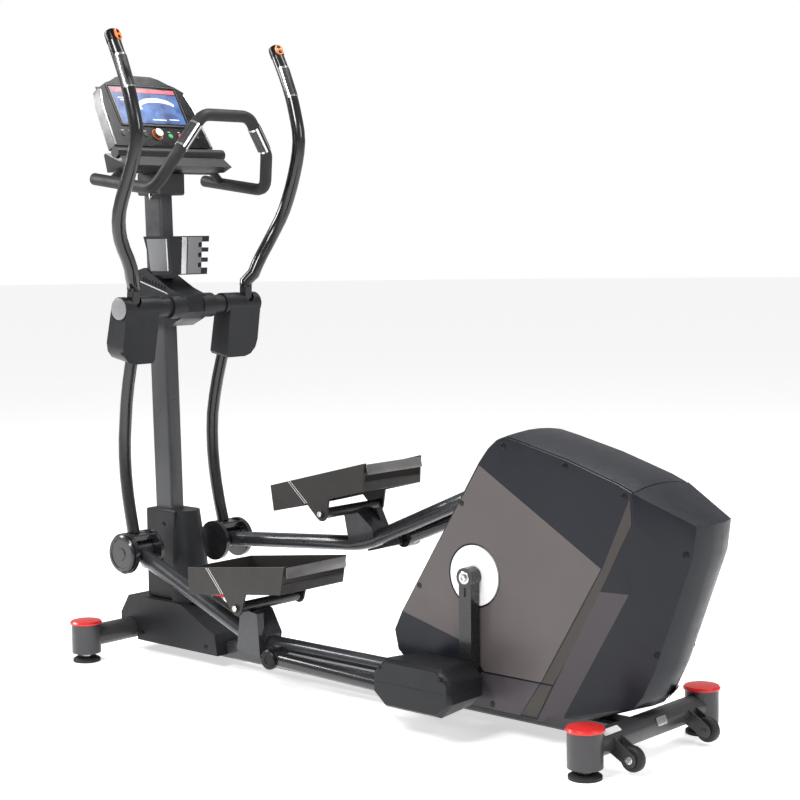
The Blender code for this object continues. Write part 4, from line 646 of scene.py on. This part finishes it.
# ---- swinging arms --------------------------------------------------------------------
# Each arm is a bowed steel tube on the pivot shaft, with a moulded shroud over its hub, a
# clevis with round flanges at its foot, and a bent handle with pulse plates above.
dark_tube = sprayed("arm_gloss_paint", (0.018, 0.018, 0.020), (0.013, 0.013, 0.015), 0.22, 0.25, 0.10, 520, coat=0.5)
gloss_black = sprayed("gloss_black_paint", (0.007, 0.007, 0.008), (0.005, 0.005, 0.006), 0.20, 0.0, 0.10, 520,
                      coat=0.55)
pulse_steel = sprayed("pulse_steel", (0.70, 0.70, 0.70), (0.60, 0.60, 0.60), 0.18, 1.0, 0.04, 900)
pulse_pad = sprayed("pulse_pad", (0.075, 0.075, 0.078), (0.045, 0.045, 0.048), 0.36, 0.6, 0.7, 1100)
cap_grey = sprayed("cap_grey", (0.26, 0.26, 0.27), (0.20, 0.20, 0.21), 0.30, 0.35, 0.12, 700, coat=0.2)
ARM_TURN = {"left": 5.158, "right": 2.834}
BUTTON_FACE = {"left": (0.8846, 0.2401, 0.3998), "right": (0.8691, -0.2401, 0.4325)}
SHROUD_SCREWS = ((-0.022, -0.026), (0.012, -0.120))
HANDLE_R = 0.0190   # inside of the pulse plates on the handles
LOOP_R = 0.0169     # inside of the pulse plates on the fixed bar
PAD_MARGIN, PAD_NARROWER = 0.006, 44


def pulse_plate(low, high, facing, r, spread):
    """A plate bent round a tube: its bright frame and the dark pad inside it."""
    axis = (high - low).normalized()
    length = (high - low).length
    out = (Vector(facing) - axis * axis.dot(Vector(facing))).normalized()
    turn = Matrix((out, axis.cross(out), axis)).transposed().to_4x4()
    shapes = []
    for thick, wide, start, end in ((0.0010, spread, 0.0, length),
                                    (0.0016, spread - PAD_NARROWER, PAD_MARGIN, length - PAD_MARGIN)):
        bm = bmesh.new()
        section = [bm.verts.new(p) for p in ((r, 0, start), (r + thick, 0, start), (r + thick, 0, end), (r, 0, end))]
        face = bm.faces.new(section)
        back = Matrix.Rotation(math.radians(-wide / 2), 3, "Z")
        bmesh.ops.rotate(bm, cent=(0, 0, 0), matrix=back, verts=bm.verts)
        bmesh.ops.spin(bm, geom=[face], cent=(0, 0, 0), axis=(0, 0, 1), angle=math.radians(wide), steps=18,
                       use_merge=False)
        bmesh.ops.transform(bm, matrix=Matrix.Translation(low) @ turn, verts=bm.verts)
        shapes.append(bm)
    return shapes


for side, s in (("left", -1), ("right", 1)):
    arm = Matrix.Translation(PIVOT) @ Matrix.Rotation(math.radians(ARM_TURN[side]), 4, "Y")
    body = f"arm_{side}"
    dress(f"lower_arm_{side}", dark_tube, 0.0012)
    dress(f"handle_{side}", gloss_black, 0.0)
    dress(f"shroud_{side}", cover_plastic, 0.0030)
    dress(f"grip_cap_{side}", console_black, 0.0010)
    dress(f"button_up_{side}", console_black, 0.0004)
    dress(f"button_down_{side}", console_black, 0.0004)
    clevis = arm @ Vector((0.0, s * 0.2033, -0.6727))
    flange = spun([(0.0, 0.0), (0.0500, 0.0), (0.0520, 0.0020), (0.0515, 0.0062), (0.0475, 0.0098),
                   (0.0400, 0.0102), (0.0385, 0.0078), (0.0180, 0.0078), (0.0165, 0.0100), (0.0, 0.0104)],
                  clevis, (0, s, 0), steps=48)
    finished(flange, f"clevis_cap_{side}", dark_tube, body)
    hub = arm @ Vector((0.0, s * 0.2462, 0.0))
    cap = spun([(0.0, 0.0), (0.0292, 0.0), (0.0298, 0.0012), (0.0285, 0.0036), (0.0250, 0.0044), (0.0, 0.0044)],
               hub, (0, s, 0), steps=40)
    finished(cap, f"pivot_cap_{side}", cap_grey, body)
    # A dark film across each pivot cap is painted shade, standing for the shadow in its slot.
    slot_shade_plane = plane(hub + Vector((0, s * 0.0043, 0)), (s, 0, 0), (0, 0, 1))
    finished(slab(rounded(0.0022, 0.046, 0.001, 2), 0.0003, slot_shade_plane),
             f"pivot_cap_slot_shade_{side}", screw_black, body)
    heads = []
    for x, z in SHROUD_SCREWS:
        at, facing = touch(f"shroud_{side}", arm @ Vector((x, s * OUTSIDE, z)), (0, -s, 0))
        heads.append(sunk_screw(at + facing * 0.0002, facing, 0.0048))
    finished(joined(*heads), f"shroud_screws_{side}", screw_black, body)
    low, high = arm @ Vector((0.0775, s * 0.3050, 0.576)), arm @ Vector((0.0360, s * 0.3062, 0.660))
    frame_bm, pad_bm = pulse_plate(low, high, (1, 0, 0.2), HANDLE_R, 150)
    finished(frame_bm, f"pulse_frame_{side}", pulse_steel, body)
    finished(pad_bm, f"pulse_pad_{side}", pulse_pad, body)
    face = Vector(BUTTON_FACE[side])
    caps = [(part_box(f"button_{k}_{side}")[0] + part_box(f"button_{k}_{side}")[1]) / 2 for k in ("up", "down")]
    middle = (caps[0] + caps[1]) / 2
    at, facing = touch(f"grip_cap_{side}", middle + face * 0.05, -face)
    along = (caps[0] - caps[1]).normalized()
    half_gap = (caps[0] - caps[1]).length / 2
    wide = along.cross(face).normalized()
    oval = plane(at - face * 0.0038, wide, face.cross(wide))
    holes = [ring_outline(0, half_gap, 0.0056, 24), ring_outline(0, -half_gap, 0.0056, 24)]
    plate = slab(rounded(0.0230, 0.0315, 0.0114, 9), 0.0048, oval, soft=0.0006, holes=holes)
    finished(plate, f"button_plate_{side}", ring_orange, body)


# ---- fixed handle pulse plates --------------------------------------------------------
# A polished pulse plate is clipped round each side of the fixed bar, with a dark pad in a
# bright frame, where the bar rises to its bend.
for side, s in (("left", -1), ("right", 1)):
    bend, top = Vector((-0.577, s * 0.160, 1.392)), Vector((-0.564, s * 0.084, 1.491))
    axis = (top - bend).normalized()
    for where, facing in (("outer", (0.25, s, 0.2)), ("inner", (0.25, -s, -0.2))):
        frame_bm, pad_bm = pulse_plate(bend + axis * 0.014, bend + axis * 0.092, facing, LOOP_R, 128)
        finished(frame_bm, f"bar_pulse_frame_{where}_{side}", pulse_steel, "base")
        finished(pad_bm, f"bar_pulse_pad_{where}_{side}", pulse_pad, "base")


# ---- pedal bars -----------------------------------------------------------------------
# Each pedal bar is a bent steel tube from the arm's clevis to the crank. A moulded box in
# two halves covers the crank end, and a clamped side tube meets it in a round knuckle.
bar_paint = sprayed("bar_graphite_paint", (0.040, 0.041, 0.046), (0.030, 0.031, 0.035), 0.28, 0.40, 0.22, 560,
                    coat=0.35)
box_plastic = sprayed("crank_box_plastic", (0.010, 0.0108, 0.0135), (0.0075, 0.008, 0.010), 0.40, 0.0, 0.40, 900,
                      shine=0.25)
BAR_AT = {"left": (-0.7885, 0.3110, 8.376), "right": (-0.7613, 0.3091, -14.951)}
BOX_SCREW_X = 0.094  # from the box's middle to its screws
for side, s in (("left", -1), ("right", 1)):
    x, z, turn = BAR_AT[side]
    bar = Matrix.Translation((x, 0, z)) @ Matrix.Rotation(math.radians(turn), 4, "Y")
    body = f"bar_{side}"
    dress(f"pedal_bar_{side}", bar_paint, 0.0010)
    dress(f"link_tube_{side}", dark_tube, 0.0)
    dress(f"crank_box_upper_{side}", box_plastic, 0.0040)
    dress(f"crank_box_lower_{side}", box_plastic, 0.0040)
    knuckle = bar @ Vector((0.628, s * 0.2434, -0.104))
    cap = spun([(0.0, 0.0), (0.0240, 0.0), (0.0250, 0.0016), (0.0246, 0.0052), (0.0215, 0.0078), (0.0100, 0.0082),
                (0.0090, 0.0066), (0.0, 0.0066)], knuckle, (0, s, 0), steps=36)
    finished(cap, f"knuckle_cap_{side}", screw_black, body)
    heads = []
    box = bar @ Matrix.Translation((1.120, 0, -0.017)) @ Matrix.Rotation(math.radians(-8.4), 4, "Y")
    for u in (-BOX_SCREW_X, BOX_SCREW_X):
        at, facing = touch(f"crank_box_upper_{side}", box @ Vector((u, s * 0.5, 0.036)), (0, -s, 0))
        heads.append(sunk_screw(at + facing * 0.0002, facing, 0.0046))
    finished(joined(*heads), f"box_screws_{side}", screw_black, body)


# ---- pedals ---------------------------------------------------------------------------
# The pedals are big moulded trays of brown-grey plastic with ribbed rubber treads. Each
# rocks on a bolt through its ears. A silver strip runs across the rear wall, and two pale
# wires run down each side.
pedal_brown = sprayed("pedal_brown", (0.022, 0.019, 0.018), (0.016, 0.014, 0.013), 0.42, 0.0, 0.50, 760)
tread_rubber = sprayed("tread_rubber", (0.020, 0.019, 0.019), (0.013, 0.012, 0.012), 0.6, 0.0, 0.6, 500)
brushed_strip = sprayed("brushed_strip", (0.30, 0.29, 0.29), (0.17, 0.17, 0.17), 0.34, 0.8, 0.9, 420)
PEDAL_AT = {"left": (-0.2810, 0.2363, -6.75), "right": (-0.2656, 0.4415, -13.9)}
PEDAL_MID = 0.1475
RIB_ROWS, RIB_FIRST, RIB_STEP = 22, -0.150, 0.0142
EAR_OUT, EAR_IN = 0.2652, 0.0298    # outer and inner faces of the bolt's ends
WALL_OUT, WALL_IN = 0.2601, 0.0349  # outer and inner faces of the side walls
for side, s in (("left", -1), ("right", 1)):
    x, z, turn = PEDAL_AT[side]
    pedal = Matrix.Translation((x, 0, z)) @ Matrix.Rotation(math.radians(turn), 4, "Y")
    body = f"pedal_{side}"
    dress(f"pedal_{side}", pedal_brown, 0.0016)
    ribs = []
    for i in range(RIB_ROWS):
        on_floor = Matrix.Translation((RIB_FIRST + RIB_STEP * i, s * PEDAL_MID, 0.0561))
        rib = slab(rounded(0.0062, 0.196, 0.002, 2), 0.0022, on_floor, soft=0.0007)
        bmesh.ops.transform(rib, matrix=pedal, verts=rib.verts)
        ribs.append(rib)
    finished(joined(*ribs), f"pedal_tread_{side}", tread_rubber, body)
    strip = slab(rounded(0.212, 0.027, 0.003), 0.0010,
                 pedal @ plane((0.1862, s * PEDAL_MID, 0.0870), (0, 1, 0), (0, 0, 1)), soft=0.0003)
    finished(strip, f"pedal_rear_strip_{side}", brushed_strip, body)
    nuts, wires = [], []
    for y, way in ((s * EAR_OUT, s), (s * EAR_IN, -s)):
        nut = spun([(0.0, 0.0), (0.0082, 0.0), (0.0082, 0.0022), (0.0070, 0.0034), (0.0046, 0.0034),
                    (0.0042, 0.0022), (0.0, 0.0022)], (0, y, 0), (0, way, 0), steps=6)
        bmesh.ops.transform(nut, matrix=pedal, verts=nut.verts)
        nuts.append(nut)
    for y, way in ((s * WALL_OUT, s), (s * WALL_IN, -s)):
        for shift in (0.0, 0.0075):
            line = shifted(((-0.1000, 0.103), (-0.0982, 0.103), (-0.0502, 0.036), (-0.0520, 0.036)), shift, 0)
            wire = for_side(slab(line, 0.0009, left_side(0)), way)
            bmesh.ops.translate(wire, vec=(0, y, 0), verts=wire.verts)
            bmesh.ops.transform(wire, matrix=pedal, verts=wire.verts)
            wires.append(wire)
    finished(joined(*nuts), f"pedal_bolt_nuts_{side}", zinc, body, crease=25)
    finished(joined(*wires), f"pedal_side_wires_{side}", trim_white, body)


# ---- studio ---------------------------------------------------------------------------
# A plain pale floor under a white sky, four soft lamps, and a long lens that looks at the
# machine from beyond its left rear corner, at the height of the arm pivot or a little more.
floor_finish = sprayed("studio_floor", (0.86, 0.86, 0.86), (0.84, 0.84, 0.84), 0.60, 0.0, 0.02, 40)
floor_skin = floor_finish.node_tree.nodes["Principled BSDF"]
floor_skin.inputs["Emission Color"].default_value = (1.0, 1.0, 1.0, 1.0)
floor_skin.inputs["Emission Strength"].default_value = 0.55
ground = bmesh.new()
bmesh.ops.create_circle(ground, cap_ends=True, segments=96, radius=40.0)
floor_mesh = bpy.data.meshes.new("studio_floor")
ground.to_mesh(floor_mesh)
ground.free()
floor_mesh.materials.append(floor_finish)
floor = bpy.data.objects.new("studio_floor", floor_mesh)
bpy.context.scene.collection.objects.link(floor)

bpy.context.scene.view_settings.view_transform = "Standard"
sky = bpy.data.worlds.new("studio")
bpy.context.scene.world = sky
sky.use_nodes = True
backdrop = sky.node_tree.nodes["Background"]
backdrop.inputs["Color"].default_value = (1.0, 1.0, 1.0, 1.0)
seen = sky.node_tree.nodes.new("ShaderNodeLightPath")
level = sky.node_tree.nodes.new("ShaderNodeMapRange")
level.inputs["To Min"].default_value = 0.42
level.inputs["To Max"].default_value = 1.0
sky.node_tree.links.new(seen.outputs["Is Camera Ray"], level.inputs["Value"])
sky.node_tree.links.new(level.outputs["Result"], backdrop.inputs["Strength"])
aim = Vector((0.0, 0.0, 0.75))
LAMPS = (("key", (0.6, -3.4, 3.4), 1.3, 150.0), ("side", (3.6, 0.6, 2.6), 1.4, 55.0),
         ("front", (-3.2, -1.6, 2.4), 1.2, 110.0), ("over", (0.2, 1.2, 4.2), 2.0, 130.0))
for name, at, size, power in LAMPS:
    lamp = bpy.data.lights.new(name, "AREA")
    lamp.size = size
    lamp.energy = power
    lit = bpy.data.objects.new(name, lamp)
    lit.location = at
    lit.rotation_euler = (aim - Vector(at)).to_track_quat("-Z", "Y").to_euler()
    bpy.context.scene.collection.objects.link(lit)

CAMERA_AT = (3.015, -3.326, 1.177)
bearing, pitch, roll = (math.radians(turn) for turn in (41.74, 5.32, -0.60))
ahead = Vector((-math.sin(bearing) * math.cos(pitch), math.cos(bearing) * math.cos(pitch), -math.sin(pitch)))
right = Vector((math.cos(bearing), math.sin(bearing), 0.0))
up = right.cross(ahead)
across = right * math.cos(roll) + up * math.sin(roll)
upright = up * math.cos(roll) - right * math.sin(roll)
lens = bpy.data.cameras.new("camera")
lens.lens = 81.2
lens.sensor_width = 36.0
camera = bpy.data.objects.new("camera", lens)
camera.matrix_world = Matrix.Translation(CAMERA_AT) @ Matrix((across, upright, -ahead)).transposed().to_4x4()
bpy.context.scene.collection.objects.link(camera)
bpy.context.scene.camera = camera
